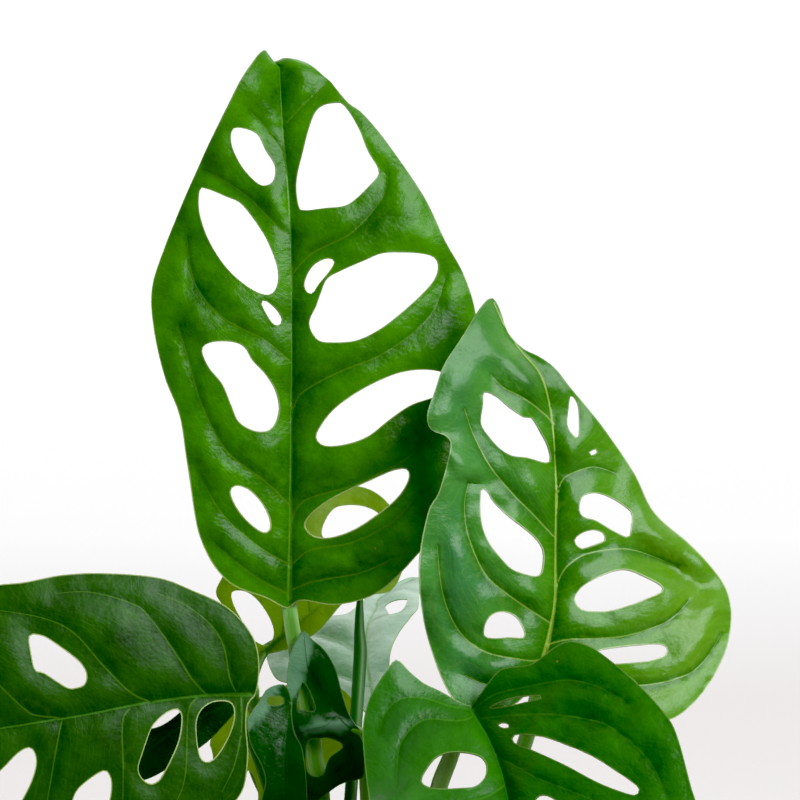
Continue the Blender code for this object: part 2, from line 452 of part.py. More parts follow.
BEHIND_LEAF = {
    "base": (-25.3, 189.8, -40),
    "size": 1.022,
    "midrib": [(0, 0), (8, 7), (18, 15), (28, 22), (35.5, 28)],
    "outline": [(3.5, 0.75), (7, 1.75), (10.75, 3.75), (14.25, 6.25), (17, 9.25), (20.25, 13),
        (24, 14.75), (28.5, 15.25), (32.5, 16.25), (35, 20.75), (35.75, 27.5), (34, 33.75),
        (31.5, 38), (27.75, 41), (23.25, 42.25), (18.5, 41.5), (14, 38.75), (9.5, 35), (3.25, 30),
        (-3, 26.75), (-7.5, 23.25), (-10, 19.25), (-11.5, 15.5), (-9.25, 11.75), (-6.5, 7),
        (-4, 2.5), (-1, 0)],
    "holes": [[(-7.5, 15.75), (-4.25, 16), (-1, 13.75), (2, 9.25), (3, 5.5), (2, 2.75), (0.2, 2.5),
        (-2.75, 4.5), (-5, 8.75), (-7, 12.5)], [(15, 30), (15.75, 33.5), (18.25, 36.75), (22, 37.5),
        (26, 37), (29.5, 35), (31, 31.25), (27, 28.75), (22, 27.5), (17.5, 28)]],
    "veins": [[(5, 4.5), (5.5, 12), (2, 20), (-3, 23)], [(12, 10), (11, 20), (9, 28)], [(20, 16.5),
        (24, 25), (33, 30)]],
    "arch": [(0, 0), (20, 3), (46, -4)],
    "right_slope": [(0, 0.05), (46, 0.05)],
    "left_slope": [(0, 0.05), (46, 0.05)],
    "right_droop": [(0, 3), (46, 3)],
    "left_droop": [(0, 4), (46, 4)],
}

UNDER_LEAF = {
    "base": (-15.25, 136.3, -18),
    "size": 1.01,
    "midrib": [(0, 0), (-4, 12), (-7, 25), (-5, 38), (1, 47.5)],
    "outline": [(0, -1), (-7.5, -2), (-15, 2.5), (-19.5, 11.25), (-21.5, 21.25), (-21.75, 28.75),
        (-22.5, 32.25), (-19.75, 35.75), (-16.25, 39.25), (-11.25, 42.5), (-5, 45.5), (1.25, 47.5),
        (7.5, 46.5), (12.5, 43.25), (15.5, 36.25), (14.25, 28.75), (11.25, 23.75), (7, 21.75),
        (4.5, 18.75), (3.5, 12.5), (2.25, 4)],
    "holes": [[(-14, 13), (-11, 15), (-10.5, 20), (-12.5, 25), (-15.5, 22), (-16, 17)]],
    "veins": [[(-3, 9), (-9, 11), (-15, 9)], [(-6.5, 24), (-12, 30), (-18, 31)], [(-6, 30), (1, 32),
        (9, 33)]],
    "arch": [(0, 0), (25, 3), (48, -3)],
    "right_slope": [(0, 0.05), (48, 0.05)],
    "left_slope": [(0, 0.05), (48, 0.05)],
    "right_droop": [(0, 3), (48, 4)],
    "left_droop": [(0, 4), (48, 5)],
}

SHADED_LEAF = {
    "base": (-30.3, 180.8, 8),
    "midrib": [(0, 0), (-8, -4), (-17, -9), (-25, -15.5), (-29.5, -21.5)],
    "outline": [(0.5, -0.5), (-0.75, -3.5), (-4.25, -7.5), (-7.5, -10.75), (-12, -14),
        (-17, -17.25), (-22, -20), (-26.5, -21.25), (-30, -21.8), (-31, -16), (-29, -11), (-26, -6),
        (-22, -1.5), (-17, 2), (-10.75, 4), (-4.5, 3.75), (-0.5, 2)],
    "holes": [[(-14.5, -3.5), (-13, -1.5), (-16.5, -1), (-21, -4.5), (-22, -7.5), (-18.5, -6.5)]],
    "veins": [[(-7, -3.5), (-11, 0), (-17, 0.5)], [(-16, -8.5), (-22, -9), (-27, -9)], [(-8, -4),
        (-11, -9), (-15, -13)], [(-16, -8.5), (-19, -13), (-24, -17.5)]],
    "arch": [(0, 0), (18, 1.5), (38, -2)],
    "right_slope": [(0, -0.1), (38, -0.1)],
    "left_slope": [(0, 0.1), (38, 0.1)],
    "right_droop": [(0, 3), (38, 3)],
    "left_droop": [(0, 4), (38, 4)],
}

LEVEL_LEAF = {
    "base": (4.4, 176.1, -21),
    "turn": (math.radians(17), 0, 0),
    "midrib": [(0, 0), (-2, 15), (-3, 30), (-3, 45), (-1, 62), (1, 80), (9, 94)],
    "outline": [(0, -1.3), (-3.25, 0), (-9.5, 8), (-17.5, 13), (-25, 16), (-28.5, 27.9),
        (-27.5, 37.8), (-23.75, 42.5), (-17, 47.8), (-12, 49.8), (-8.25, 53.1), (-5.25, 62.4),
        (-2.75, 75.7), (3.75, 89), (10, 95.5), (11.5, 85), (10.75, 74.3), (10.25, 57.1), (8, 47.8),
        (5.25, 39.2), (3.25, 29.2), (2.5, 14.6), (1.5, 4)],
    "holes": [[(2, 67.5), (7, 67.7), (7.25, 63.7), (5.75, 54.5), (3, 53.8), (2.5, 58)]],
    "veins": [[(-2, 14), (-10, 18), (-20, 26)], [(-3, 28), (-10, 36), (-20, 42)], [(-2, 15),
        (1, 22)]],
    "arch": [(0, 0), (45, 3), (95, -3)],
    "right_slope": [(0, 0.1), (95, 0.1)],
    "left_slope": [(0, 0.12), (95, 0.1)],
    "right_droop": [(0, 3), (95, 3)],
    "left_droop": [(0, 6), (95, 5)],
    "quilt": 1.4,
}

# The new leaf, still rolled: its middle line as seen from the front, and its radius along it.
NEW_LEAF_PATH = [(-3.4, 146.6, 6.8), (-2.5, 155, 6), (-1.25, 172.5, 5), (-0.4, 185, 4.5),
                 (0, 192.5, 4.3), (-0.2, 198, 4.2), (-0.1, 204, 4.1), (0.3, 209, 4)]
NEW_LEAF_RADII = [1.5, 1.6, 1.6, 1.65, 1.65, 1.3, 0.9, 0.35]


def pointing(tip, face):
    """The turn that sends a blade's tip and its upper face the given ways."""
    along = Vector(tip).normalized()
    across = along.cross(Vector(face)).normalized()
    return Matrix((across, along, across.cross(along))).transposed().to_euler()


def regular_leaf(place, length, half_width, tip, face, windows):
    """A leaf of the usual heart shape, for the places that the photograph does not show."""
    half = [
        (0, -0.01), (0.22, -0.055), (0.56, -0.05), (0.82, 0.04), (0.97, 0.18), (1, 0.33),
        (0.91, 0.5), (0.71, 0.66), (0.44, 0.81), (0.2, 0.92), (0.06, 0.98), (0, 1.03),
    ]
    right = [(x * half_width, y * length) for x, y in half]
    outline = right + [(-x, y) for x, y in right[-2:0:-1]]
    holes, veins = [], []
    for side in (1, -1):
        for k in range(windows + 1):
            start = (0.08 + 0.68 * k / windows) * length
            share = np.interp(start / length + 0.2, [y for _, y in half[3:]], [x for x, _ in half[3:]])
            width = float(share) * half_width
            veins.append([(side * 0.4, start), (side * 0.4 * width, start + 0.13 * length),
                          (side * 0.8 * width, start + 0.2 * length)])
            if k == windows:
                continue
            middle = (side * 0.46 * width, start + 0.2 * length)
            reach, girth = 0.29 * width, 0.15 * length / windows
            lean = math.radians(28)
            ring = []
            for a in np.linspace(0, 2 * math.pi, 9)[:-1]:
                u, v = reach * math.cos(a), girth * math.sin(a)
                ring.append((middle[0] + side * (u * math.cos(lean) - v * math.sin(lean)),
                             middle[1] + u * math.sin(lean) + v * math.cos(lean)))
            holes.append(ring)
    return {
        "place": place, "turn": pointing(tip, face), "outline": outline, "holes": holes, "veins": veins,
        "midrib": [(0, 0), (0, 0.35 * length), (0, 0.7 * length), (0, 1.03 * length)],
        "arch": [(0, 0), (0.4 * length, 0.06 * length), (length, -0.1 * length)],
        "right_slope": [(0, 0.12), (length, 0.05)], "left_slope": [(0, 0.12), (length, 0.05)],
        "right_droop": [(0, 7), (length, 5)], "left_droop": [(0, 7), (length, 5)],
    }


LEAVES = {
    "tall": TALL_LEAF,
    "creased": CREASED_LEAF,
    "side": SIDE_LEAF,
    "front": FRONT_LEAF,
    "young": YOUNG_LEAF,
    "lobed": LOBED_LEAF,
    "behind": BEHIND_LEAF,
    "under": UNDER_LEAF,
    "shaded": SHADED_LEAF,
    "level": LEVEL_LEAF,
    "low_right": regular_leaf((62, -5, 140), 92, 31, (0.82, -0.22, -0.52), (0.5, -0.1, 0.86), 3),
    "back_right": regular_leaf((46, 51, 139), 84, 28, (0.62, 0.6, -0.5), (0.35, 0.3, 0.88), 3),
    "back_left": regular_leaf((-45, 55, 139), 96, 32, (-0.66, 0.58, -0.48), (-0.35, 0.3, 0.88), 3),
    "low_front": regular_leaf((-30, -40, 128), 70, 23, (-0.35, -0.76, -0.55), (-0.1, -0.4, 0.9), 2),
}

# Stems: places (across, back, up) in millimetres, then the radius.
STEMS = {
    "stem_main": ([(-6, 5, 63.4), (-6, 5, 97), (-4.7, 5, 114), (-4, 5.5, 130), (-3.5, 6, 146)], 3.0),
    "stem_right": ([(20, -8, 63.4), (20, -8, 97), (21, -6, 115), (23, -4, 130), (25, -3, 141)], 3.0),
    "stem_back": ([(4, 26, 63.4), (4, 26, 97), (4, 27, 120), (3, 29, 138)], 2.75),
}

# Stalks: the stem that each springs from, its height there and its bearing round the stem (0 is right,
# 90 is back), then places as seen from the front (across, up, towards the viewer), then both radii.
STALKS = {
    "tall": ("stem_main", 122, 180, [(-9.5, 155, 7), (-11, 165, 7.5), (-13.25, 180, 8.5),
                                     (-15.75, 192.5, 9.6), (-17.2, 201, 10.2)], 2.1, 1.9),
    "side": ("stem_main", 103, 199, [(-16, 135, 9.2), (-18, 155, 8.6), (-20.5, 165, 9),
                                     (-23.5, 173.75, 11), (-26.6, 180.4, 14.5)], 1.9, 1.7),
    "young": ("stem_main", 124, 0, [(1.5, 150, 8.6), (1.2, 160, 10.2), (0.9, 166, 11)], 1.4, 1.2),
    "lobed": ("stem_main", 112, 270, [(-8, 136, 11.5), (-12.3, 146, 13.2), (-15, 154, 14.8),
                                      (-17.6, 167, 15.2), (-18, 175, 16)], 1.2, 1.0),
    "shaded": ("stem_main", 112, 130, [(-15, 136, 1.5), (-20, 150, 2.5), (-25, 164, 3.8),
                                       (-28.5, 174, 5)], 1.4, 1.2),
    "low_front": ("stem_main", 101, 250, [(-16, 112, 23.7), (-25, 120, 41)], 1.6, 1.4),
    "creased": ("stem_right", 124, 0, [(31, 141, 16), (35, 155, 17), (40.75, 170, 21), (43.3, 180, 25),
                                       (44.8, 188, 26.4)], 2.0, 1.8),
    "front": ("stem_right", 118, 230, [(18.4, 134, 21.7), (18.6, 147, 24), (19.25, 158.5, 27),
                                       (22.25, 167, 30), (25.5, 175, 33.5)], 2.2, 1.8),
    "low_right": ("stem_right", 104, 345, [(40, 120.7, 20.6), (55, 133.8, 19.7)], 1.9, 1.6),
    "behind": ("stem_back", 116, 135, [(-8, 131, -26), (-19, 146, -30), (-27, 161, -34),
                                       (-28.8, 173.4, -38), (-27.8, 183.4, -41.5)], 1.6, 1.4),
    "under": ("stem_back", 102, 185, [(-8, 115, -18.5), (-13, 126, -19.5)], 1.6, 1.4),
    "level": ("stem_back", 124, 10, [(6.5, 150, -19.5), (4.6, 165, -22.3)], 1.6, 1.4),
    "back_right": ("stem_back", 106, 30, [(22, 124.7, -25.2), (38, 136, -35)], 1.7, 1.5),
    "back_left": ("stem_back", 107, 100, [(-14, 125.2, -31.2), (-34, 138.5, -38.5)], 1.8, 1.5),
}
STALK_HUG = 6.0
SEAT_REACH = 4.0


# Making objects

def material(name, finish):
    colour, roughness = finish
    made = bpy.data.materials.new(name)
    made.use_nodes = True
    shader = made.node_tree.nodes["Principled BSDF"]
    shader.inputs["Base Color"].default_value = (*colour, 1)
    shader.inputs["Roughness"].default_value = roughness
    return made


def add_object(name, data, finish, place=(0, 0, 0), turn=(0, 0, 0)):
    made = bpy.data.objects.new(name, data)
    made.location = [c * MM for c in place]
    made.rotation_euler = turn
    made.data.materials.append(finish)
    plant.objects.link(made)
    return made


def add_blade(name, leaf, finish):
    """A blade as a thin closed solid, standing in the front view's plane."""
    form, faces = blade_sheet(leaf)
    mesh = bpy.data.meshes.new(name)
    mesh.from_pydata((form * MM).tolist(), [], faces.tolist())
    mesh.shade_smooth()
    matrix = blade_matrix(leaf)
    blade = add_object(name, mesh, finish, matrix.translation, matrix.to_euler())
    solid = blade.modifiers.new("Thickness", "SOLIDIFY")
    solid.thickness = BLADE_THICKNESS * MM
    solid.offset = 0
    return blade


def stalk_foot(stem, height, bearing, radius):
    """The first places of a stalk, which hugs its stem for a little way before it leaves."""
    places, stem_radius = STEMS[stem]
    path = smooth_line([tuple(map(float, place)) for place in places], 2.0)
    off = stem_radius + radius + CLEARANCE
    foot = []
    for level in (height, height + STALK_HUG):
        x, y = (np.interp(level, path[:, 2], path[:, axis]) for axis in (0, 1))
        away = Vector((math.cos(math.radians(bearing)), math.sin(math.radians(bearing)), 0)) * off
        foot.append(Vector((x, y, level)) + away)
    return foot


def blade_matrix(leaf):
    """Where the blade's own frame lies, in millimetres."""
    place = Vector(leaf["place"]) if "place" in leaf else from_front(*leaf["base"])
    turn = Euler(leaf.get("turn", (math.pi / 2 - FRONT_TILT, 0, 0)))
    return Matrix.Translation(place) @ turn.to_matrix().to_4x4()


def stalk_path(name):
    """A stalk's places from its stem up to the back of its blade, which it meets CLEARANCE away."""
    stem, height, bearing, middle, foot_radius, head_radius = STALKS[name]
    leaf = LEAVES[name]
    spots = np.array([(x, y) for x in np.arange(-SEAT_REACH, SEAT_REACH + 0.1, 0.5)
                      for y in np.arange(-SEAT_REACH, SEAT_REACH + 0.1, 0.5)])
    spots = spots[inside(spots, smooth_line(leaf["outline"], OUTLINE_STEP, closed=True))]
    matrix = blade_matrix(leaf)
    skin = np.array([tuple(matrix @ Vector(p)) for p in blade_form(spots, leaf)])
    back = matrix.to_3x3() @ Vector((0, 0, -1))
    path = stalk_foot(stem, height, bearing, foot_radius) + [from_front(*place) for place in middle]
    head = matrix @ Vector(blade_form(np.array([(0.0, 0.0)]), leaf)[0])
    head += back * 3.0
    room = BLADE_THICKNESS / 2 + CLEARANCE + 0.08
    for _ in range(12):
        line = smooth_line([tuple(p) for p in [*path, head]], 0.8)[-12:]
        along = Vector(line[-1] - line[-4]).normalized()
        across = along.cross(Vector((0.3, 0.5, 0.8))).normalized()
        rim = [across * math.cos(a) + along.cross(across) * math.sin(a)
               for a in np.linspace(0, 2 * math.pi, 13)[:-1]]
        tube = np.array([tuple(Vector(p) + r * head_radius) for p in line for r in rim])
        gap = np.linalg.norm(skin[:, None] - tube[None], axis=2).min()
        head += back * (room - gap) * 0.8
    return [*path, head]


def add_rod(name, places, radii, finish, step=6.5):
    """A round rod along a smooth path of places in millimetres, its radius running from end to end."""
    path = smooth_line([tuple(place) for place in places], step)
    curve = bpy.data.curves.new(name, "CURVE")
    curve.dimensions = "3D"
    curve.bevel_depth = MM
    curve.bevel_resolution = 2
    curve.use_fill_caps = True
    line = curve.splines.new("POLY")
    line.points.add(len(path) - 1)
    for point, place, t in zip(line.points, path, np.linspace(0, 1, len(path))):
        point.co = (*(place * MM), 1)
        point.radius = float(np.interp(t, np.linspace(0, 1, len(radii)), radii))
    return add_object(name, curve, finish)


def pot_inner_radius(height):
    """The pot's inner radius at a height above its foot."""
    low, high = POT_FOOT_RADIUS - POT_WALL + 1.5, POT_MOUTH_RADIUS - POT_WALL - POT_RIM_OUT
    return np.interp(height, [POT_FLOOR, POT_HEIGHT], [low, high])


def cut(target, name, centre, radius, low, high):
    """Takes an upright round hole out of the target."""
    bpy.ops.mesh.primitive_cylinder_add(vertices=24, radius=radius * MM, depth=(high - low) * MM,
                                        location=(centre[0] * MM, centre[1] * MM, (high + low) / 2 * MM))
    cutter = bpy.context.object
    cutter.name = name
    cutter.hide_render = True
    cutter.display_type = "WIRE"
    hole = target.modifiers.new(name, "BOOLEAN")
    hole.operation = "DIFFERENCE"
    hole.solver = "EXACT"
    hole.object = cutter
    return cutter


def add_pot(finish):
    """A tapered clay pot with a raised rim band and drain holes round its middle."""
    neck = POT_HEIGHT - POT_RIM_HEIGHT
    lip = POT_MOUTH_RADIUS - POT_WALL - POT_RIM_OUT
    under_rim = POT_MOUTH_RADIUS - POT_RIM_OUT - 2.0
    profile = [
        (0, 0), (POT_FOOT_RADIUS - 1.2, 0), (POT_FOOT_RADIUS, 1.2),
        (under_rim - 0.5, neck - 1.0), (under_rim + 0.6, neck), (POT_MOUTH_RADIUS - 1.8, neck),
        (POT_MOUTH_RADIUS - 0.8, neck + 1.2), (POT_MOUTH_RADIUS, POT_HEIGHT - 1.8),
        (POT_MOUTH_RADIUS - 0.6, POT_HEIGHT - 0.5), (POT_MOUTH_RADIUS - 1.8, POT_HEIGHT),
        (lip + 1.4, POT_HEIGHT), (lip + 0.2, POT_HEIGHT - 0.8),
        (float(pot_inner_radius(POT_HEIGHT - 4)), POT_HEIGHT - 4),
        (float(pot_inner_radius(POT_FLOOR + 3)), POT_FLOOR + 3),
        (float(pot_inner_radius(POT_FLOOR)) - 3, POT_FLOOR), (0, POT_FLOOR),
    ]
    mesh = bpy.data.meshes.new("pot")
    edges = [(i, i + 1) for i in range(len(profile) - 1)]
    mesh.from_pydata([(r * MM, 0, z * MM) for r, z in profile], edges, [])
    pot = add_object("pot", mesh, finish)
    turned = pot.modifiers.new("Turned on the wheel", "SCREW")
    turned.steps = turned.render_steps = 48
    turned.use_merge_vertices = True
    turned.merge_threshold = 0.00001
    turned.use_normal_calculate = True
    for k in range(DRAIN_HOLES):
        turn = 2 * math.pi * (k + 0.5) / DRAIN_HOLES
        centre = (DRAIN_CIRCLE * math.cos(turn), DRAIN_CIRCLE * math.sin(turn))
        cut(pot, f"Drain hole {k + 1}", centre, DRAIN_RADIUS, -2, POT_FLOOR + 2)
    return pot


def soil_height(x, y):
    """The soil's lumpy surface."""
    lumps = math.sin(0.19 * x + 1.3) * math.cos(0.23 * y - 0.4) + 0.6 * math.sin(0.41 * x - 0.33 * y)
    return SOIL_LEVEL + SOIL_LUMP * lumps - 0.0009 * (x * x + y * y)


def add_soil(finish):
    """Soil that fills the pot up to a little below its rim."""
    sides = 48
    bottom = POT_FLOOR + CLEARANCE
    rings = [(0.0, None)]
    rim = float(pot_inner_radius(SOIL_LEVEL - 5)) - CLEARANCE
    rings += [(rim * k / 6, None) for k in range(1, 7)]
    rings += [(float(pot_inner_radius(bottom + 3)) - CLEARANCE, bottom + 3),
              (float(pot_inner_radius(POT_FLOOR)) - 3 - CLEARANCE, bottom), (0.0, bottom)]
    verts, starts = [], []
    for radius, height in rings:
        starts.append(len(verts))
        count = 1 if radius == 0 else sides
        for k in range(count):
            x, y = radius * math.cos(2 * math.pi * k / sides), radius * math.sin(2 * math.pi * k / sides)
            verts.append((x * MM, y * MM, (soil_height(x, y) if height is None else height) * MM))
    faces = []
    for i in range(len(rings) - 1):
        a, b = starts[i], starts[i + 1]
        for k in range(sides):
            n = (k + 1) % sides
            if rings[i][0] == 0:
                faces.append((a, b + k, b + n))
            elif rings[i + 1][0] == 0:
                faces.append((a + k, b, a + n))
            else:
                faces += [(a + k, b + k, b + n), (a + k, b + n, a + n)]
    mesh = bpy.data.meshes.new("soil")
    mesh.from_pydata(verts, [], faces)
    soil = add_object("soil", mesh, finish)
    for name, (places, radius) in STEMS.items():
        low = places[0][2] - CLEARANCE
        cut(soil, f"Socket of {name}", places[0][:2], radius + SOCKET_CLEARANCE, low, SOIL_LEVEL + 12)
    return soil


for old in list(bpy.data.objects):
    bpy.data.objects.remove(old)
plant = bpy.data.collections.new("Potted Swiss cheese vine")
bpy.context.scene.collection.children.link(plant)

leaf_material = material("Leaf blade", LEAF_GREEN)
stalk_material = material("Leaf stalk", STALK_GREEN)
stem_material = material("Stem", STEM_GREEN)
clay_material = material("Unglazed clay", CLAY)
soil_material = material("Potting soil", POTTING_SOIL)

add_pot(clay_material)
add_soil(soil_material)
for stem_name, (stem_path, stem_radius) in STEMS.items():
    add_rod(stem_name, stem_path, [stem_radius, stem_radius], stem_material)
for leaf_name, leaf_shape in LEAVES.items():
    add_blade(f"leaf_{leaf_name}", leaf_shape, leaf_material)
    add_rod(f"stalk_{leaf_name}", stalk_path(leaf_name), STALKS[leaf_name][4:], stalk_material)
add_rod("new_leaf", [from_front(*p) for p in NEW_LEAF_PATH], NEW_LEAF_RADII, leaf_material, 4.5)
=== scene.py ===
# Swiss cheese vine (Monstera adansonii) in a clay pot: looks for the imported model.
# Metres, +Z up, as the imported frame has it. The plant's own numbers are in millimetres.
import math

import bpy
import numpy as np
from mathutils import Euler, Matrix, Vector, noise
from mathutils.geometry import delaunay_2d_cdt


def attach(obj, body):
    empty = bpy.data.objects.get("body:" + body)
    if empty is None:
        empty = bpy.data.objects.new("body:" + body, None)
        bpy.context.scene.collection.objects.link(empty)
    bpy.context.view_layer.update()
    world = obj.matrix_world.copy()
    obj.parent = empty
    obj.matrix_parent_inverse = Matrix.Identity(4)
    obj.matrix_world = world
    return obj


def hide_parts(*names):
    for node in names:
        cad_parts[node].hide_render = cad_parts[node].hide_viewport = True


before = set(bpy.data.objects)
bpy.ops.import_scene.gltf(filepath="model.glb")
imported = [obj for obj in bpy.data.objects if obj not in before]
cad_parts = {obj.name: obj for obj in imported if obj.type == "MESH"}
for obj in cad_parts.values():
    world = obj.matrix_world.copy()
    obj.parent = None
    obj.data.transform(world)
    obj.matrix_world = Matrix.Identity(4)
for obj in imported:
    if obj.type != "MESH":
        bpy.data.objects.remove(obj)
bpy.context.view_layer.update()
mm = 0.001
frontTilt = math.radians(5)   # the leaves were laid out as seen by an eye that looks down by this much
print(f"frame loaded, {len(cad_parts)} solids")


def fromFront(right, up, toward):   # a place as seen from the front, turned to the frame's axes
    return Vector((right, up * math.sin(frontTilt) - toward * math.cos(frontTilt),
                   up * math.cos(frontTilt) + toward * math.sin(frontTilt)))


# Curves

def smoothLine(points, step, closed=False):   # points a step apart on a smooth curve through the given ones
    knots = np.asarray(points, float)
    count, finePoints, fewest = len(knots), 12, 6 if closed else 2
    fine = []
    for i in range(count if closed else count - 1):
        if closed:
            p0, p1, p2, p3 = (knots[(i + k) % count] for k in (-1, 0, 1, 2))
        else:
            p0, p1, p2, p3 = (knots[min(max(i + k, 0), count - 1)] for k in (-1, 0, 1, 2))
        for t in np.linspace(0, 1, finePoints, endpoint=False):
            bend = p0 * (-t + 2 * t**2 - t**3) + p1 * (2 - 5 * t**2 + 3 * t**3)
            fine.append((bend + p2 * (t + 4 * t**2 - 3 * t**3) + p3 * (t**3 - t**2)) / 2)
    fine = np.array([*fine, knots[0] if closed else knots[-1]])
    run = np.concatenate([[0], np.cumsum(np.linalg.norm(np.diff(fine, axis=0), axis=1))])
    at = np.linspace(0, run[-1], max(fewest, round(run[-1] / step)) + 1)
    even = np.stack([np.interp(at, run, fine[:, k]) for k in range(fine.shape[1])], axis=1)
    return even[:-1] if closed else even


def smoothValue(at, knots):   # a smooth curve of one value through (place, value) knots
    places, values = np.array(knots, float).T
    slopes = np.gradient(values, places)
    slopes[0] = slopes[-1] = 0
    at = np.clip(at, places[0], places[-1])
    i = np.clip(np.searchsorted(places, at) - 1, 0, len(places) - 2)
    gap = places[i + 1] - places[i]
    t = (at - places[i]) / gap
    rise = values[i] * (1 + 2 * t) * (1 - t) ** 2 + values[i + 1] * t**2 * (3 - 2 * t)
    return rise + gap * (slopes[i] * t * (1 - t) ** 2 - slopes[i + 1] * t**2 * (1 - t))


def inside(points, loop):   # which points lie within a closed loop
    x, y = points.T
    found = np.zeros(len(points), bool)
    for (x0, y0), (x1, y1) in zip(loop, np.roll(loop, -1, axis=0)):
        if y0 != y1:
            found ^= ((y0 > y) != (y1 > y)) & (x < x0 + (y - y0) * (x1 - x0) / (y1 - y0))
    return found


def nearest(points, line):   # distance to a line, the run along it to the foot, the side (right is +1)
    best, run, side = np.full(len(points), np.inf), np.zeros(len(points)), np.ones(len(points))
    walked = 0.0
    for a, b in zip(line[:-1], line[1:]):
        along = b - a
        length = np.linalg.norm(along)
        t = np.clip((points - a) @ along / length**2, 0, 1)
        away = points - a - t[:, None] * along
        gap = np.linalg.norm(away, axis=1)
        closer = gap < best
        best = np.where(closer, gap, best)
        run = np.where(closer, walked + t * length, run)
        toRight = away[:, 0] * along[1] - away[:, 1] * along[0] >= 0
        side = np.where(closer, np.where(toRight, 1.0, -1.0), side)
        walked += length
    return best, run, side


def outlineGap(points, loop):   # distance to a closed loop
    return nearest(points, np.vstack([loop, loop[:1]]))[0]


def beside(line, offset, closed=False):   # the line moved to its left
    ahead = np.roll(line, -1, axis=0) if closed else np.vstack([line[1:], line[-1:]])
    behind = np.roll(line, 1, axis=0) if closed else np.vstack([line[:1], line[:-1]])
    along = ahead - behind
    along /= np.linalg.norm(along, axis=1)[:, None]
    return line + offset * np.stack([-along[:, 1], along[:, 0]], axis=1)


def grain(points, size, seed):   # smooth noise from -1 to 1 with bumps of about this size
    return np.array([noise.noise(Vector((x / size + seed, y / size - seed, seed))) for x, y in points])


def ellipseSquare(points, x, y, longRadius, shortRadius, angle):   # 0 in an ellipse's middle, 1 on its line
    dx, dy = points[:, 0] - x, points[:, 1] - y
    c, s = math.cos(math.radians(angle)), math.sin(math.radians(angle))
    return ((dx * c + dy * s) / longRadius) ** 2 + ((dy * c - dx * s) / shortRadius) ** 2


def wrapped(angles):   # the same angles between half a turn back and half a turn on
    return (angles + math.pi) % (2 * math.pi) - math.pi


# A blade: the flat outline with its holes, raised to its real form, with both faces and a thin rim

blade = {
    "rimStep": 1.2, "holeStep": 1.0, "veinStep": 1.2, "meshStep": 1.7, "markStep": 1.5, "cell": 1.5,
    "veinRows": (0.4, -0.4), "veinOuterRows": (1.0, -1.0), "rimRows": (0.4, 1.1),
    "thickness": 0.42, "rimThin": 0.7, "rimReach": 1.5, "quilt": 1.4, "quiltReach": 4.2, "foldReach": 5.0,
    "droopAt": 30, "edgeReach": 3.0, "puckerSize": 7.0, "puckerReach": 3.0, "waveSize": 13.0, "waveReach": 7.0,
    # depth and reach of each groove in the face, below 0 for the ridge in its middle
    "ribGrooves": [(0.35, 1.3), (-0.3, 0.5)], "veinGrooves": [(0.16, 0.8), (-0.12, 0.3)],
    "ribBack": 1.5, "ribBackReach": 0.6, "veinBack": 0.35, "veinBackReach": 0.55, "backReach": 2.0,
    # share of the way to the tip, and the width there
    "ribTaper": ([-0.1, 0, 0.12, 0.5, 1.0], [1.0, 1.0, 0.62, 0.42, 0.2]),
    "veinTaper": ([0, 0.55, 1], [1.0, 0.8, 0.3]),
}
usualLeaf = {   # what a leaf has where its own dictionary doesn't say otherwise
    "turn": (math.pi / 2 - frontTilt, 0, 0), "size": 1.0, "quilt": 1.0, "fold": 0.8, "pucker": 0.35,
    "wave": 0.5, "edgeTurn": 1.1, "ribSize": 1.0,
    "swells": [],    # bulges: place, long and short radius, angle, rise
    "creases": [],   # sharp bends: two places on the line, slope beyond it
    "rolls": [],     # what is rolled back: place, angle, radius of the roll, most degrees
    "turned": [],    # lobes that show their back: place, long and short radius, angle, share
}


def midribPlace(points, leaf):   # run along the midrib from the base, and distance to its right
    rib, tail = smoothLine(leaf["midrib"], 2.0), 80.0
    first = rib[0] - (rib[1] - rib[0]) / np.linalg.norm(rib[1] - rib[0]) * tail
    last = rib[-1] + (rib[-1] - rib[-2]) / np.linalg.norm(rib[-1] - rib[-2]) * tail
    away, run, side = nearest(points, np.vstack([first, rib, last]))
    return run - tail, away * side


def bladeHeight(points, leaf):   # how far each flat point stands towards the viewer
    run, right = midribPlace(points, leaf)
    off = np.abs(right)
    slope, droop = (np.where(right > 0, *(smoothValue(run, knots) for knots in leaf[key]))
                    for key in ("slope", "droop"))   # each is given for the right half and for the left
    height = smoothValue(run, leaf["arch"]) + slope * off - droop * (off / blade["droopAt"]) ** 2
    toVein, lineStep, swellPower = off, 3.0, 1.25
    for vein in leaf["veins"]:
        toVein = np.minimum(toVein, nearest(points, smoothLine(vein, lineStep))[0])
    swell = 1 - np.exp(-((toVein / blade["quiltReach"]) ** swellPower))
    height = height + leaf["quilt"] * blade["quilt"] * swell
    height = height + leaf["fold"] * (0.5 - np.exp(-off / blade["foldReach"]))
    for *ellipse, rise in leaf["swells"]:
        height = height + rise * np.exp(-ellipseSquare(points, *ellipse))
    for x0, y0, x1, y1, rise in leaf["creases"]:
        beyond = (x1 - x0) * (points[:, 1] - y0) - (y1 - y0) * (points[:, 0] - x0)
        height = height + rise * np.maximum(beyond / math.hypot(x1 - x0, y1 - y0), 0)
    return height


def rollBack(form, x, y, angle, radius, most):   # bends all that lies past a line round a rod behind the leaf
    toward = np.array((math.cos(math.radians(angle)), math.sin(math.radians(angle))))
    past = (form[:, :2] - (x, y)) @ toward
    turn = np.clip(past / radius, 0, math.radians(most))
    beyond = np.maximum(past - radius * math.radians(most), 0)
    lift = radius + form[:, 2]
    reach = lift * np.sin(turn) + beyond * np.cos(turn)
    depth = lift * np.cos(turn) - radius - beyond * np.sin(turn)
    bent = form.copy()
    bent[:, :2] += np.where(past > 0, reach - past, 0)[:, None] * toward
    bent[:, 2] = np.where(past > 0, depth, form[:, 2])
    return bent


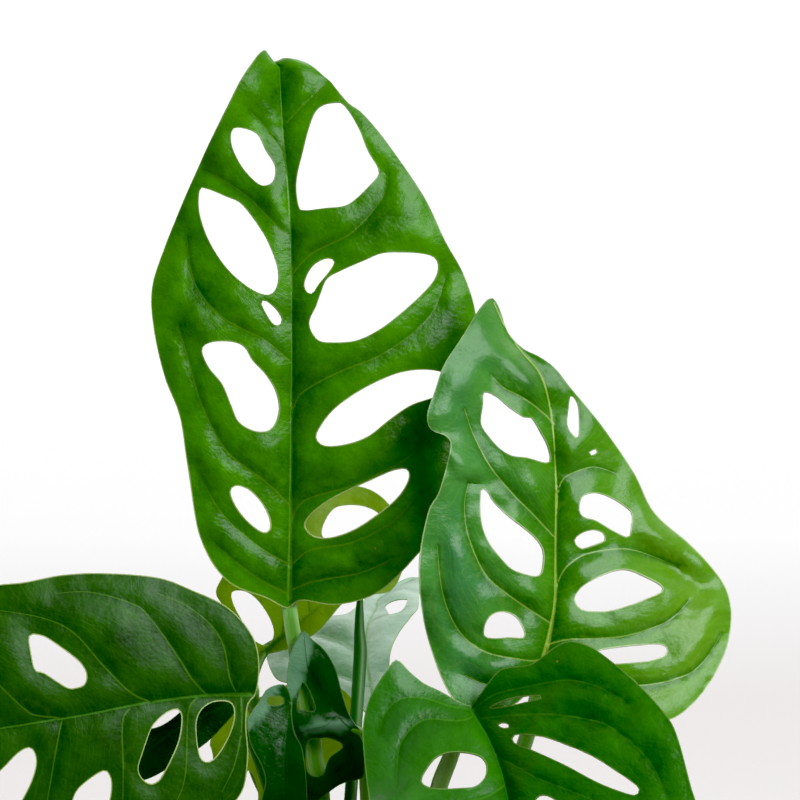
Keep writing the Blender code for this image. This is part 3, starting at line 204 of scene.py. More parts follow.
def bladeMatrix(leaf):
    place = Vector(leaf["place"]) if "place" in leaf else fromFront(*leaf["base"])
    return Matrix.Translation(place) @ Euler(leaf["turn"]).to_matrix().to_4x4()


def flatBlade(leaf):   # points of the flat blade, denser along rims, midrib and veins, and its triangles
    loops = [smoothLine(leaf["outline"], blade["rimStep"], True)]
    loops += [smoothLine(hole, blade["holeStep"], True) for hole in leaf["holes"]]
    lines = [smoothLine(line, blade["veinStep"]) for line in [leaf["midrib"], *leaf["veins"]]]
    # groups of points, the most wanted first, each with the room that one of its points needs
    groups = [(line, 0.5) for line in lines]
    groups += [(beside(line, off), 0.28) for line in lines for off in blade["veinRows"]]
    for k, loop in enumerate(loops):
        area = np.sum(loop[:, 0] * np.roll(loop[:, 1], -1) - loop[:, 1] * np.roll(loop[:, 0], -1))
        inward = math.copysign(1, area) * (1 if k == 0 else -1)
        groups += [(beside(loop, inward * off, True), 0.3) for off in blade["rimRows"]]
    groups += [(beside(line, off), 0.6) for line in lines for off in blade["veinOuterRows"]]
    low, high = loops[0].min(axis=0), loops[0].max(axis=0)
    step = blade["meshStep"]
    rows = [(x + step / 2 * (k % 2), y) for k, y in enumerate(np.arange(low[1], high[1], step * 0.866))
            for x in np.arange(low[0], high[0], step)]
    groups.append((np.array(rows), 0.62 * step))

    cells, kept = {}, []
    for point in np.vstack(loops):
        cells.setdefault(tuple(int(c // blade["cell"]) for c in point), []).append(tuple(point))
        kept.append(tuple(point))
    for group, room in groups:
        allowed = inside(group, loops[0])
        for hole in loops[1:]:
            allowed &= ~inside(group, hole)
        for x, y in group[allowed]:
            i, j = int(x // blade["cell"]), int(y // blade["cell"])
            near = (p for a in (-1, 0, 1) for b in (-1, 0, 1) for p in cells.get((i + a, j + b), ()))
            if all((x - p[0]) ** 2 + (y - p[1]) ** 2 > room * room for p in near):
                cells.setdefault((i, j), []).append((x, y))
                kept.append((x, y))
    edges, first = [], 0
    for loop in loops:
        edges += [(first + i, first + (i + 1) % len(loop)) for i in range(len(loop))]
        first += len(loop)
    found = delaunay_2d_cdt([Vector(p) for p in kept], edges, [], 0, 1e-6, False)
    points, faces = np.array([tuple(p) for p in found[0]]), np.array(found[2])
    middle = points[faces].mean(axis=1)
    keep = inside(middle, loops[0])
    for hole in loops[1:]:
        keep &= ~inside(middle, hole)
    used, faces = np.unique(faces[keep], return_inverse=True)
    return points[used], faces.reshape(-1, 3), loops


def deselectAll():
    bpy.ops.object.select_all(action="DESELECT")


def enlist(piece, slot, *nodes):   # the plant has one body, and a piece stands for the solids named here
    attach(piece, "root")
    if nodes:
        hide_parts(*nodes)


def meshPiece(name, points, faces, finish, uv=None, marks=None, sharpAt=60):
    mesh = bpy.data.meshes.new(name)
    mesh.from_pydata((np.asarray(points) * mm).tolist(), [], [list(map(int, f)) for f in faces])
    if uv is not None:
        corners = np.empty(len(mesh.loops), int)
        mesh.loops.foreach_get("vertex_index", corners)
        layer = mesh.uv_layers.new(name="surface")
        layer.data.foreach_set("uv", np.asarray(uv)[corners].astype(np.float32).ravel())
    for key, values in (marks or {}).items():
        mesh.attributes.new(key, "FLOAT", "POINT").data.foreach_set("value", np.asarray(values, np.float32))
    mesh.materials.append(finish)
    piece = bpy.data.objects.new(name, mesh)
    bpy.context.scene.collection.objects.link(piece)
    deselectAll()
    piece.select_set(True)
    bpy.context.view_layer.objects.active = piece
    bpy.ops.object.shade_smooth_by_angle(angle=math.radians(sharpAt))
    return piece


def addBlade(key, leaf):
    flat, faces, loops = flatBlade(leaf)
    run, right = midribPlace(flat, leaf)
    ribGap = nearest(flat, smoothLine(leaf["midrib"], blade["markStep"]))[0]
    rimGap = np.min([outlineGap(flat, loop) for loop in loops], axis=0)
    # the fine nerves run on lines that keep the same share of the way between two veins
    soften, farAway = 0.3, 50.0
    ribNear = (ribGap + soften) ** 2
    veinGap, weight, nerve = np.full(len(flat), farAway), 1 / ribNear, run / ribNear
    veinMark = veinGap
    for vein in leaf["veins"]:
        gap, along, _ = nearest(flat, smoothLine(vein, blade["markStep"]))
        veinGap = np.minimum(veinGap, gap)
        veinMark = np.minimum(veinMark, gap / np.interp(along / along.max(), *blade["veinTaper"]))
        starts, sides = midribPlace(np.array([vein[0], vein[len(vein) // 2]], float), leaf)
        share = np.where(right * sides[1] > 0, 1 / (gap + soften) ** 2, 0)
        weight, nerve = weight + share, nerve + share * starts[0]
    nerve = nerve / weight
    ribWidth = np.interp(run / run.max(), *blade["ribTaper"]) * leaf["ribSize"]

    puckerSeed, waveSeed = 3.1 + len(key), 7.7 + len(key)
    pucker = leaf["pucker"] * grain(flat, blade["puckerSize"], puckerSeed)
    wave = leaf["wave"] * grain(flat, blade["waveSize"], waveSeed)
    height = bladeHeight(flat, leaf)
    height += pucker * np.minimum(1, veinGap / blade["puckerReach"])
    height += wave * np.exp(-rimGap / blade["waveReach"])
    height -= leaf["edgeTurn"] * np.exp(-((rimGap / blade["edgeReach"]) ** 2))
    for gap, grooves in ((ribGap, blade["ribGrooves"]), (veinGap, blade["veinGrooves"])):
        for depth, reach in grooves:
            height -= depth * np.exp(-((gap / reach) ** 2))
    form = np.column_stack([flat, height])
    for roll in leaf["rolls"]:
        form = rollBack(form, *roll)
    form *= leaf["size"]

    across, flatAcross = (np.cross(spots[:, 1] - spots[:, 0], spots[:, 2] - spots[:, 0])
                          for spots in (form[faces], flat[faces]))
    if np.sum(flatAcross) < 0:
        faces, across = faces[:, ::-1], -across
    normal = np.zeros_like(form)
    for k in range(3):
        np.add.at(normal, faces[:, k], across)
    normal /= np.linalg.norm(normal, axis=1)[:, None]
    edgeShare = np.minimum(1, rimGap / blade["rimReach"])
    thin = blade["thickness"] / 2 * (blade["rimThin"] + (1 - blade["rimThin"]) * edgeShare)
    ridges = blade["ribBack"] * ribWidth * np.exp(-((ribGap / (blade["ribBackReach"] + ribWidth)) ** 2))
    ridges += blade["veinBack"] * np.exp(-((veinGap / blade["veinBackReach"]) ** 2))
    back = thin + ridges * np.minimum(1, rimGap / blade["backReach"])
    shell = np.vstack([form + normal * thin[:, None], form - normal * back[:, None]])
    matrix = np.array(bladeMatrix(leaf))

    count = len(flat)
    sides = np.vstack([faces[:, [0, 1]], faces[:, [1, 2]], faces[:, [2, 0]]]).tolist()
    known = {(a, b) for a, b in sides}
    rim = [(b, a, a + count, b + count) for a, b in sides if (b, a) not in known]
    under = np.zeros(count)
    for *ellipse, share in leaf["turned"]:   # where the photograph shows the back of a curled lobe
        under = np.maximum(under, share * np.clip((1.15 - ellipseSquare(flat, *ellipse)) / 0.3, 0, 1))
    marks = {"rib": ribGap / ribWidth, "vein": veinMark, "rim": rimGap, "nerve": nerve}
    marks = {name: np.concatenate([values, values]) for name, values in marks.items()}
    marks["under"] = np.concatenate([under, np.ones(count)])
    piece = meshPiece(f"blade_{key}", shell @ matrix[:3, :3].T + matrix[:3, 3],
                      [*faces.tolist(), *(faces[:, ::-1] + count).tolist(), *rim],
                      finishes[leaf["finish"]], np.vstack([flat, flat]) / 100, marks, 50)
    enlist(piece, "leaf", f"leaf_{key}")
    print(f"blade {key}: {len(piece.data.polygons)} faces")


# A stalk or stem: a tube along a path, with a channel and wings where it has them

def tubeAlong(path, radii, sides, reference, shape):   # shape gives the share of the radius at each angle
    path, radii = np.asarray(path, float), np.asarray(radii, float)
    run = np.concatenate([[0], np.cumsum(np.linalg.norm(np.diff(path, axis=0), axis=1))])
    along = np.gradient(path, axis=0)
    along /= np.linalg.norm(along, axis=1)[:, None]
    out = np.array(reference, float)
    rings, uv, turns = [], [], []
    caps = [(-0.80, 0.60), (-0.50, 0.87)]   # how far past the end a ring lies and its size, in radii
    stations = [(0, back * radii[0], size) for back, size in caps] + [(i, 0.0, 1.0) for i in range(len(path))]
    stations += [(len(path) - 1, -back * radii[-1], size) for back, size in caps[::-1]]
    angles = np.linspace(0, 2 * math.pi, sides, endpoint=False)
    for i, shift, size in stations:
        out = out - along[i] * (out @ along[i])
        out /= np.linalg.norm(out)
        reach = radii[i] * size * shape(angles, run[i], run[-1])
        circle = np.outer(np.cos(angles), out) + np.outer(np.sin(angles), np.cross(along[i], out))
        rings.append(path[i] + shift * along[i] + reach[:, None] * circle)
        uv += [(a / (2 * math.pi), (run[i] + shift) / 100) for a in angles]
        turns += list(angles)
    ends = [path[0] - along[0] * radii[0], path[-1] + along[-1] * radii[-1]]
    uv += [(0, 0), (0, run[-1] / 100)]
    turns += [0, 0]
    faces = []
    for i in range(len(rings) - 1):
        a, b = i * sides, (i + 1) * sides
        faces += [(a + k, a + (k + 1) % sides, b + (k + 1) % sides, b + k) for k in range(sides)]
    last, count = (len(rings) - 1) * sides, len(rings) * sides
    faces += [((k + 1) % sides, k, count) for k in range(sides)]
    faces += [(last + k, last + (k + 1) % sides, count + 1) for k in range(sides)]
    return np.vstack([*rings, ends]), faces, uv, np.array(turns)


# The leaves seen from the front. The base is where a blade starts, and its places lie across and up from there.
# Slope and droop are given along the midrib, for the right half and then the left.

leaves = {}

leaves["tall"] = {
    **usualLeaf,
    "finish": "waxy blade, deep green",
    "base": (-17.5, 205.75, 13),
    "midrib": [(0, 0), (0.25, 14), (0.5, 37), (0.75, 62), (0.5, 87), (-0.5, 104), (-1.75, 119), (-2.5, 135),
     (-2, 155)],
    "outline": [(-0.5, -2.5), (-5.5, 0), (-15.5, 4.5), (-22, 15), (-25, 32), (-27, 45), (-30.75, 55),
     (-33.5, 67), (-34, 77), (-31, 87), (-27, 97), (-21, 110.5), (-14.7, 123), (-12, 128.4), (-8.9, 133.2),
     (-6, 137), (-3.8, 141), (-4.2, 147), (-2, 155), (0, 147), (3.5, 139.5), (8.5, 131), (14.2, 123.4),
     (18.3, 120.2), (24.75, 112.4), (33.5, 99.5), (38.5, 89), (43, 81), (46, 72), (47, 62), (45.5, 50),
     (42.5, 36), (36.5, 18), (31, 10), (22, 1.5), (12, -1.5), (3, -0.5)],
    "holes": [[(-14.25, 115.75), (-12.5, 116.75), (-8, 115.25), (-5.75, 111), (-3.5, 107.25), (-4, 103.5),
     (-7, 102.5), (-11.25, 106.5), (-14, 111.75)], [(6.5, 120.75), (11.8, 123), (14.2, 121.6), (17.3, 116.5),
     (19.5, 111), (22.25, 106), (20.5, 103), (14.75, 97.75), (9, 96.75), (3.5, 96.25), (2.25, 97.75),
     (1.75, 103), (3, 109.25)], [(-22.25, 101.25), (-20.75, 101.75), (-15.75, 99.75), (-11.75, 97.75),
     (-7, 91.5), (-4.5, 86.75), (-2.75, 81.5), (-3, 77.25), (-5.25, 75.25), (-9.75, 77), (-15.25, 81.75),
     (-19.75, 88.5), (-22.25, 95.5)], [(-6.75, 73), (-5.75, 73.75), (-3.25, 71.75), (-1.75, 69.25),
     (-2.5, 67.75), (-4.25, 68.5)], [(3.75, 77.5), (4.5, 80.25), (6.25, 82.75), (9.25, 84.25), (11.25, 83.5),
     (10, 81), (7.5, 78), (6, 75.75), (4.75, 75.75)], [(9.5, 79.25), (13, 81.25), (18.75, 83.75), (23, 85.5),
     (27.5, 85.75), (32.75, 85.5), (36, 84.5), (37, 82.25), (36, 79), (32.5, 75), (27.5, 70.5), (22.5, 66.75),
     (16.75, 64), (10.75, 63.5), (7, 64.25), (5, 68.25), (6.75, 72.5), (8, 76)], [(-21.5, 61.25), (-20.5, 63),
     (-17.5, 63.75), (-13.25, 63.5), (-10.75, 62), (-9, 59), (-5.75, 55.5), (-3.25, 51.25), (-2.5, 46.5),
     (-4.25, 42.25), (-8, 41.5), (-12.25, 43.75), (-14.25, 48), (-16.5, 53.25), (-19.75, 57.25)], [(6.75, 40),
     (8, 43), (11, 46.75), (15.5, 50.25), (21.25, 53.5), (27.5, 56), (33.75, 56.75), (38.75, 55.75),
     (39.75, 53), (36.5, 50.25), (30.25, 48), (25, 44.5), (19.5, 40.25), (13.75, 38.25), (8.75, 38)],
     [(-14.5, 26.5), (-13, 28), (-10, 27), (-7, 24), (-5, 20.25), (-4.75, 17.25), (-6.5, 16.5), (-10, 19),
     (-13, 22.75)], [(4, 17.75), (4.75, 20), (8, 23), (13.5, 26.25), (20, 29.25), (25.75, 31.75), (29.25, 32),
     (29.5, 29.25), (26.75, 25), (22, 21), (16.25, 17.25), (10.5, 15.25), (6.25, 15.5)]],
    "veins": [[(1, 80.5), (6, 85.75), (15.75, 90.75), (23.25, 99.5), (24.5, 105.5)], [(1, 46.25), (3.25, 51),
     (12, 56), (24.25, 61.25), (35, 70.25), (39, 80.5)], [(0.75, 19.25), (4, 24.5), (16, 28.25),
     (28.75, 34.75), (36.5, 41.75)], [(0.25, 7.75), (5.25, 12), (16, 14), (26.25, 19.5), (32.5, 26.75)],
     [(0, 1.75), (6, 4.25), (18, 6.5), (26.25, 10.25)], [(-1.5, 117), (3, 122), (8, 127)], [(0, 59),
     (-6.25, 64.25), (-16.5, 69.75), (-23.25, 78), (-25.5, 89.75)], [(-0.25, 23.5), (-5.5, 28.75),
     (-15.5, 36.75), (-21.5, 48), (-25, 59.5), (-27.5, 68)], [(-0.25, 8.5), (-8, 13.25), (-16.75, 21.25),
     (-22.5, 31.75)], [(-0.5, 1.25), (-8.75, 5.75), (-18, 13.25)], [(0.25, 89.25), (-6.25, 95.75),
     (-10, 99.5), (-17, 104.25), (-21.25, 106.25)], [(-0.75, 109.25), (-6, 117), (-10, 121)]],
    "arch": [(-10, -1), (0, 0), (35, 3), (75, 5), (110, 2), (135, -3)],
    "slope": ([(0, 0.1), (60, 0.14), (115, 0.1), (132, 0.03)], [(0, 0.08), (60, 0.12), (115, 0.08),
     (132, 0.65)]),
    "droop": ([(0, 2), (60, 6), (130, 5)], [(0, 3), (60, 5), (130, 5)]),
    "rolls": [(-6.8, 133.3, 73.7, 4.85, 150)],
    "fold": 2.2,
    "quilt": 1.4,
}

leaves["creased"] = {
    **usualLeaf,
    "finish": "waxy blade, glossy",
    "base": (45.4, 191.9, 30),
    "size": 0.984,
    "midrib": [(0, 0), (1.25, 4.75), (2.75, 13.5), (3, 24), (3, 47), (2.25, 57.5), (0.75, 66), (-1.5, 71.5),
     (-5, 75.5), (-9, 81), (-12.5, 88.5)],
    "outline": [(0, -2.5), (2.75, -5.75), (10.25, -13.25), (21.5, -17), (32, -15.75), (39.75, -9.5),
     (45.75, 0.25), (47.5, 9.25), (46.25, 16.5), (42.5, 22), (36.75, 28), (28, 35.75), (22.75, 46),
     (14.75, 57.5), (6.75, 67.25), (3, 72), (-1, 75), (-5, 77), (-8.75, 80.75), (-11, 87), (-13, 89.75),
     (-16, 87), (-21.25, 78.75), (-25, 73), (-27, 67.25), (-29.25, 60.5), (-28.25, 56.75), (-24.5, 55),
     (-23.5, 52), (-26.25, 41.5), (-29, 36.25), (-31.25, 23.75), (-30.25, 10), (-26.75, -2.5),
     (-22.5, -10.75), (-18.25, -13.25), (-12.25, -13.75), (-6, -10.75), (-1.5, -4.5)],
    "holes": [[(-15, 66), (-12, 65), (-8.75, 62.25), (-5, 59.75), (-3, 59.5), (-1, 56.25), (1, 52.25),
     (1.25, 48.5), (-4.25, 49.75), (-8, 50.25), (-11, 52), (-13.75, 55), (-15.75, 58.25), (-15.25, 63)],
     [(-15.75, 41.5), (-14.25, 41.25), (-12.75, 38.75), (-9.5, 35.5), (-5, 32), (-1.75, 29), (-0.25, 26),
     (-0.5, 21.75), (-1.5, 20.25), (-4, 20.5), (-8, 22), (-11, 25), (-14, 29), (-15.75, 34.25)],
     [(-14.25, 9.25), (-12.75, 10.75), (-10.25, 11.25), (-7.5, 10.25), (-5.75, 8), (-5, 5), (-8.75, 5),
     (-12.5, 4.75), (-14.75, 5.25), (-15, 7)], [(6.75, 65), (7.75, 64.5), (8.75, 62), (8.75, 55), (7, 55.75),
     (6, 58), (6.25, 61.5)], [(11.5, 51), (13.25, 51.75), (13.5, 51), (12.25, 50.25)], [(10.25, 40.25),
     (13.25, 40.75), (17, 39.5), (20.25, 37.5), (22.25, 35.5), (22, 32), (21.25, 29.75), (17.25, 31.5),
     (13, 34), (10.25, 34.75), (9, 36.25), (9.25, 38.75)], [(7.75, 29), (9.5, 30.75), (12.25, 31.5),
     (14.75, 30.75), (15.5, 29.25), (14.5, 28.5), (11.75, 27.5), (9.25, 27)], [(7.75, 14.25), (9.5, 17.25),
     (13.25, 19.5), (17, 21), (20.5, 21.5), (24.25, 20.25), (30, 16.75), (25, 14), (17, 11.5), (13.25, 11.25),
     (9.5, 11.75)], [(11.5, 0), (14, 1.5), (19, 2.25), (25, 2.75), (29.25, 2.75), (31, 1.75), (30.25, 0),
     (27, -1), (22.75, -1.5), (14, -1.75)]],
    "veins": [[(3, 29.25), (-2.75, 35.5), (-7.25, 40), (-11.75, 45.25), (-14.5, 49), (-18, 56), (-20, 62)],
     [(2, 8), (-5, 12.75), (-10.25, 16.5), (-14.5, 20.25), (-17.5, 26), (-19.5, 32), (-20, 38.5),
     (-19, 43.5)], [(0.5, 0.5), (-2.25, -1), (-9.5, 0), (-15.25, 1.5), (-20.5, 5.5), (-24.25, 12.25),
     (-26, 19.5), (-26.75, 28)], [(2.5, 58.25), (-1.5, 62), (-5.75, 65), (-10.25, 67.25), (-13.5, 70.5)],
     [(0, -1), (-6, -5.75), (-13.5, -7), (-19.75, -4.5)], [(3.25, 36.25), (4.5, 43.75), (9, 46.5),
     (13.25, 47.25), (17.75, 45.75)], [(3, 16.75), (4.5, 20.5), (6.75, 23.25), (11.75, 25.75), (22, 26.5),
     (34, 22.25)], [(1.25, 3), (6, 4.25), (13.25, 4.5), (20, 5), (26.5, 6.75), (32.25, 9.25), (36.5, 13.5)],
     [(0.5, -1), (14, -5.75), (25, -7.25), (36, -4.75), (41.25, -0.25), (44.75, 5.5)]],
    "arch": [(-20, 3), (0, 0), (25, -2.5), (50, -4.6), (92, -5)],
    "slope": ([(-15, -0.05), (5, -0.15), (30, -0.35), (60, -0.6), (85, -0.7)], [(-15, 0.06), (5, 0.25),
     (20, 0.34), (45, 0.34), (92, 0.34)]),
    "droop": ([(0, 2), (30, 5), (85, 2)], [(0, 3), (40, 1.5), (92, 1.5)]),
    "swells": [(-24, 66, 8, 6.5, 20, 1.6), (-24, 45, 8, 6.5, 0, 1.6), (-9, 0, 7, 4, 0, 1.5), (35, 26.5, 12,
     3.5, -30, 2.9), (35, 19.7, 12, 3, -25, -3.0), (44, 8, 9, 5, 80, 1.5), (-17, 43.5, 5, 1.5, 0, -1.6),
     (-22, 49, 9, 2, -54, 1.4)],
    "quilt": 1.8,
    "fold": 2.7,
    "pucker": 1.1,
    "wave": 1.3,
}

leaves["side"] = {
    **usualLeaf,
    "finish": "waxy blade, grainy",
    "base": (-27, 182.25, 22),
    "midrib": [(0, 0), (-12.25, -0.25), (-27.5, -2.25), (-41.5, -5), (-63, -8.5), (-88, -13.75),
     (-103, -17.75), (-113, -23)],
    "outline": [(1.5, 0.5), (2.25, 8), (0.5, 14.75), (-5.5, 21.5), (-14.75, 26), (-23.25, 29), (-36.75, 30),
     (-46.75, 29.5), (-55.75, 27.75), (-63, 27), (-71.75, 25), (-81.75, 20.75), (-91.75, 13.25),
     (-100.5, 2.75), (-106.75, -8.5), (-111, -18.5), (-114.5, -25.5), (-109.25, -25.5), (-103, -27.5),
     (-93, -31.75), (-81.75, -35.25), (-70.5, -37.75), (-58, -39.75), (-45.5, -41), (-34.25, -40.5),
     (-24.25, -38.5), (-15.5, -35.5), (-8.5, -31.5), (-4.25, -27.25), (-1.5, -22.75), (-0.5, -15),
     (-1, -7.75), (-0.5, -2.5)],
    "holes": [[(-54.25, 14.5), (-52, 14.75), (-49.5, 13.75), (-43.5, 9.5), (-41.25, 7.25), (-40.25, 5),
     (-40.75, 2.75), (-42.5, 2), (-45, 2), (-50.5, 5.5), (-52.75, 6.25), (-53.75, 10)], [(-13.25, -9.25),
     (-13, -5.75), (-11.5, -3.25), (-9, -1.9), (-6, -1.75), (-4.5, -2.5), (-4, -4.25), (-4.25, -7),
     (-5.5, -10.5), (-7.5, -14), (-9.5, -16.25), (-11.25, -16.5), (-12.5, -14.75)], [(-17, -5.25),
     (-17.75, -3.75), (-19, -3.75), (-21, -4.75), (-23, -6.5), (-24.5, -8.75), (-26.75, -15.25), (-27.5, -18),
     (-27, -20), (-25.25, -21.75), (-23.5, -21.75), (-21.75, -20), (-18.5, -13.5), (-17.25, -9.25)],
     [(-36.25, -18.75), (-34.75, -19.75), (-34.25, -22.25), (-34.75, -26), (-36.5, -30.25), (-39, -33.5),
     (-42, -34.25), (-43.75, -31.75), (-44, -28), (-43, -24.25), (-40.5, -21.5)], [(-54.5, -13),
     (-53.25, -14), (-52.75, -16.5), (-53.5, -20), (-55.25, -24), (-58, -28.5), (-61.75, -32.25), (-65, -32),
     (-66.5, -29), (-65.5, -25), (-63, -20.5), (-60, -17.25), (-57, -14.25)], [(-62.25, -3.5), (-64.25, -1.5),
     (-69.25, 2.75), (-74.25, 6.5), (-77.5, 7.25), (-78, 4.75), (-75.5, 0.25), (-70.5, -3), (-65.5, -4.75)],
     [(-84, 11), (-87.5, 10.5), (-91, 5), (-92, -1), (-89.5, -3.5), (-86, 1), (-84, 6.5)], [(-75, -16),
     (-77.5, -17.5), (-79.5, -23), (-80, -28.5), (-78, -30.5), (-75, -28.5), (-73.5, -23.5), (-73.5, -18)]],
    "veins": [[(-3, 0), (-5, 4), (-6, 10), (-7.5, 14.25), (-11, 18.5), (-16.25, 22.25), (-23, 25)],
     [(-10.5, -0.25), (-14.25, 3.75), (-17.5, 9), (-24.25, 18.5), (-28.5, 22.25), (-39, 25.25), (-48, 25)],
     [(-24.25, -1.75), (-29.5, 0.75), (-36.25, 7.5), (-43.5, 15.5), (-52, 19.25), (-65.5, 21.25)],
     [(-46.5, -5.5), (-52, -5), (-55, -3.75), (-63, 3.75), (-69.25, 9), (-78, 12.75)], [(-84, -12.75),
     (-93, -8), (-97, -1)], [(-46.25, -5.75), (-47.75, -13.5), (-50, -26), (-51.5, -32.25)], [(-28.75, -2.75),
     (-31, -5), (-31.5, -10), (-31.25, -17.25), (-31.5, -27.25), (-33, -34.75)], [(-13, -0.75), (-15, -3),
     (-15.5, -7.75), (-16, -19.75), (-18, -26), (-21, -31)], [(-2.25, -0.75), (-2.25, -9), (-4, -17.5),
     (-7, -24)], [(-64.25, -8.75), (-67, -13.5), (-69.25, -21), (-71.75, -28.5)], [(-81.75, -12.5),
     (-85.5, -17.25), (-88, -24.75)]],
    "arch": [(-5, 0), (0, 0), (40, 4), (80, 2), (118, -8)],
    "slope": ([(0, 0.1), (60, 0.12), (110, 0.1)], [(0, -0.03), (60, -0.1), (110, -0.15)]),
    "droop": ([(0, 5), (60, 6), (110, 6)], [(0, 2), (60, 2), (110, 3)]),
    "quilt": 0.7,
    "fold": 1.2,
    "ribSize": 0.7,
}

leaves["front"] = {
    **usualLeaf,
    "finish": "waxy blade, mid green",
    "base": (27.6, 179.2, 40),
    "size": 0.97,
    "midrib": [(0, 0), (2.5, -4), (5.25, -9), (7.5, -15.25), (9, -22.25), (10.25, -32.25), (11.5, -44.75),
     (13.25, -63.5)],
    "outline": [(0, 1), (-3.25, 2), (-8.25, 4.75), (-12, 6.5), (-15.5, 9.25), (-19, 12.5), (-21.5, 10),
     (-24.25, 6), (-26.25, 2), (-27.5, -4), (-27.25, -10.75), (-25.75, -22.25), (-23.5, -31), (-18.5, -39.75),
     (-10.5, -48.5), (-0.5, -54.75), (8.25, -59.25), (13.25, -64.5), (17, -59.25), (27, -53.5), (39.5, -46.5),
     (49, -38.5), (54, -29.75), (55, -22.25), (53.75, -17.25), (50.5, -5), (47.5, 0.5), (40.25, 8.25),
     (31.5, 15.25), (27, 17.25), (23.75, 17.5), (20.25, 15.75), (14.75, 11.75), (8.5, 10.75), (5.75, 9),
     (1.5, 3.25)],
    "holes": [[(-12.75, -17.25), (-11.5, -14.5), (-9.25, -11.75), (-6.5, -10.5), (-3.25, -10.25),
     (0.25, -10.75), (2.5, -11.75), (3.5, -13.75), (3, -16.25), (0.75, -18.25), (-2.75, -18.75),
     (-10, -18.75)], [(10, -6.75), (11.25, -5.75), (17, -6), (21.5, -7.25), (29.25, -10.25), (35.5, -14),
     (40.5, -17.5), (40.75, -19.25), (38.75, -19.5), (31.5, -17), (23, -12.75), (14.75, -9.25), (11, -8)],
     [(6.5, -3.5), (8, -3), (9.5, -3.75), (8, -4.25)], [(4.75, 0.75), (8.5, 2.6), (12, 3.5), (15.5, 3.9),
     (17.5, 3.8), (16, 3.1), (12, 2), (8, 1.1)], [(16, -22.25), (16.25, -20.75), (18.5, -20.5), (22, -22.25),
     (28.25, -25.25), (34.5, -28.5), (37.5, -31.75), (35, -33.5), (29.5, -32.75), (23.25, -30.25),
     (18.5, -26.5)], [(-14, -28), (-8, -26), (-1, -25.5), (4.5, -27), (5, -30), (0, -32.5), (-7, -33.5),
     (-13, -31.5)], [(18, -37), (24, -38.5), (29, -41), (27, -44), (21, -43), (17.5, -40)]],
    "veins": [[(1, -1.25), (-2.75, -2.75), (-11, -2.25), (-14.25, -3.75), (-17, -6.75), (-18.5, -10.25),
     (-19, -18.5)], [(7.75, -18.5), (2, -21.5), (-6.75, -22.25), (-14.25, -23.5), (-18, -27.25)], [(10, -31),
     (4.5, -34.75), (-4.25, -37), (-10.5, -39.25)], [(0, 0), (-5.5, 0.75), (-11.75, 2.75), (-17.75, 2.75),
     (-21.5, -0.25), (-23.5, -6)], [(1.5, -2.25), (8.5, -1.25), (19.75, -0.5), (31, -2), (35.25, -4),
     (43.25, -10.75), (47.75, -19.75)], [(0.5, 0.25), (5.75, 4), (12, 5.75), (21.5, 7.75), (26.5, 7.75),
     (32, 6.25), (38.25, 2.75)], [(6.25, -11.5), (12, -14), (16.25, -16.25), (27.5, -20.25), (33.25, -23),
     (40.75, -26)], [(9.5, -26.75), (14.5, -31.75), (22, -34.75), (32, -37.75)]],
    "arch": [(-22, -8), (0, 0), (20, 14), (40, 25), (66, 31)],
    "slope": ([(-10, 0.3), (20, 0.42), (60, 0.3)], [(-10, 0.3), (20, 0.5), (60, 0.4)]),
    "droop": ([(0, 5), (30, 4), (60, 4)], [(0, 3), (30, 3), (60, 4)]),
    "quilt": 1.2,
    "fold": 3.0,
}

leaves["young"] = {
    **usualLeaf,
    "finish": "soft blade, dark green",
    "base": (0.6, 171.3, 14),
    "size": 0.99,
    "midrib": [(0, 0), (-5.75, 4.75), (-10.5, 11.5), (-13.25, 16.25), (-14.25, 22), (-14.6, 26.75)],
    "outline": [(-14.6, 26.75), (-12.5, 24.5), (-9.5, 22), (-6.75, 17.5), (-5.25, 12), (-3.75, 7), (-2.25, 4),
     (0, 1), (1, -3), (0.5, -8), (0, -10.25), (-5.25, -11.75), (-9.5, -14.75), (-12.5, -17), (-14.3, -15.5),
     (-15.1, -9.25), (-15.6, -4.75), (-16.2, -1), (-17.2, 2), (-17.75, 5.75), (-17.7, 8.5), (-18.75, 12),
     (-18.75, 15.75), (-18, 20.75), (-16.5, 24.5)],
    "holes": [[(-15, 13.75), (-13.5, 12), (-11.75, 7), (-14.25, 6.75), (-16.1, 7.3), (-15.75, 10.75)],
     [(-13.5, -1), (-11.5, -0.5), (-8.25, -0.25), (-4.75, -2.25), (-8.25, -5.25), (-9.75, -9.25),
     (-12.25, -9.75), (-13.75, -8.25), (-14.1, -4.5)]],
    "veins": [[(-6.5, 5.5), (-9, 3), (-13, 2.2), (-15.5, 1)], [(-2, 1.5), (-3, -2), (-4, -6), (-7, -9)]],
    "arch": [(0, 0), (15, 0.4), (31, 0)],
    "slope": ([(0, 0.1), (30, 0.1)], [(0, -0.08), (30, -0.08)]),
    "droop": ([(0, 2), (30, 2)], [(0, 0), (30, 0)]),
    "swells": [(-9.2, 2.9, 8, 1.8, 4, 2.0)],
    "creases": [(-17.5, 8.75, -9.5, 22, 0.3)],
    "quilt": 0.6,
    "turned": [(-16.3, 18, 10, 2.6, 72, 1.0), (-8.5, 2.6, 7, 1.5, 8, 0.9)],
    "ribSize": 0.5,
}

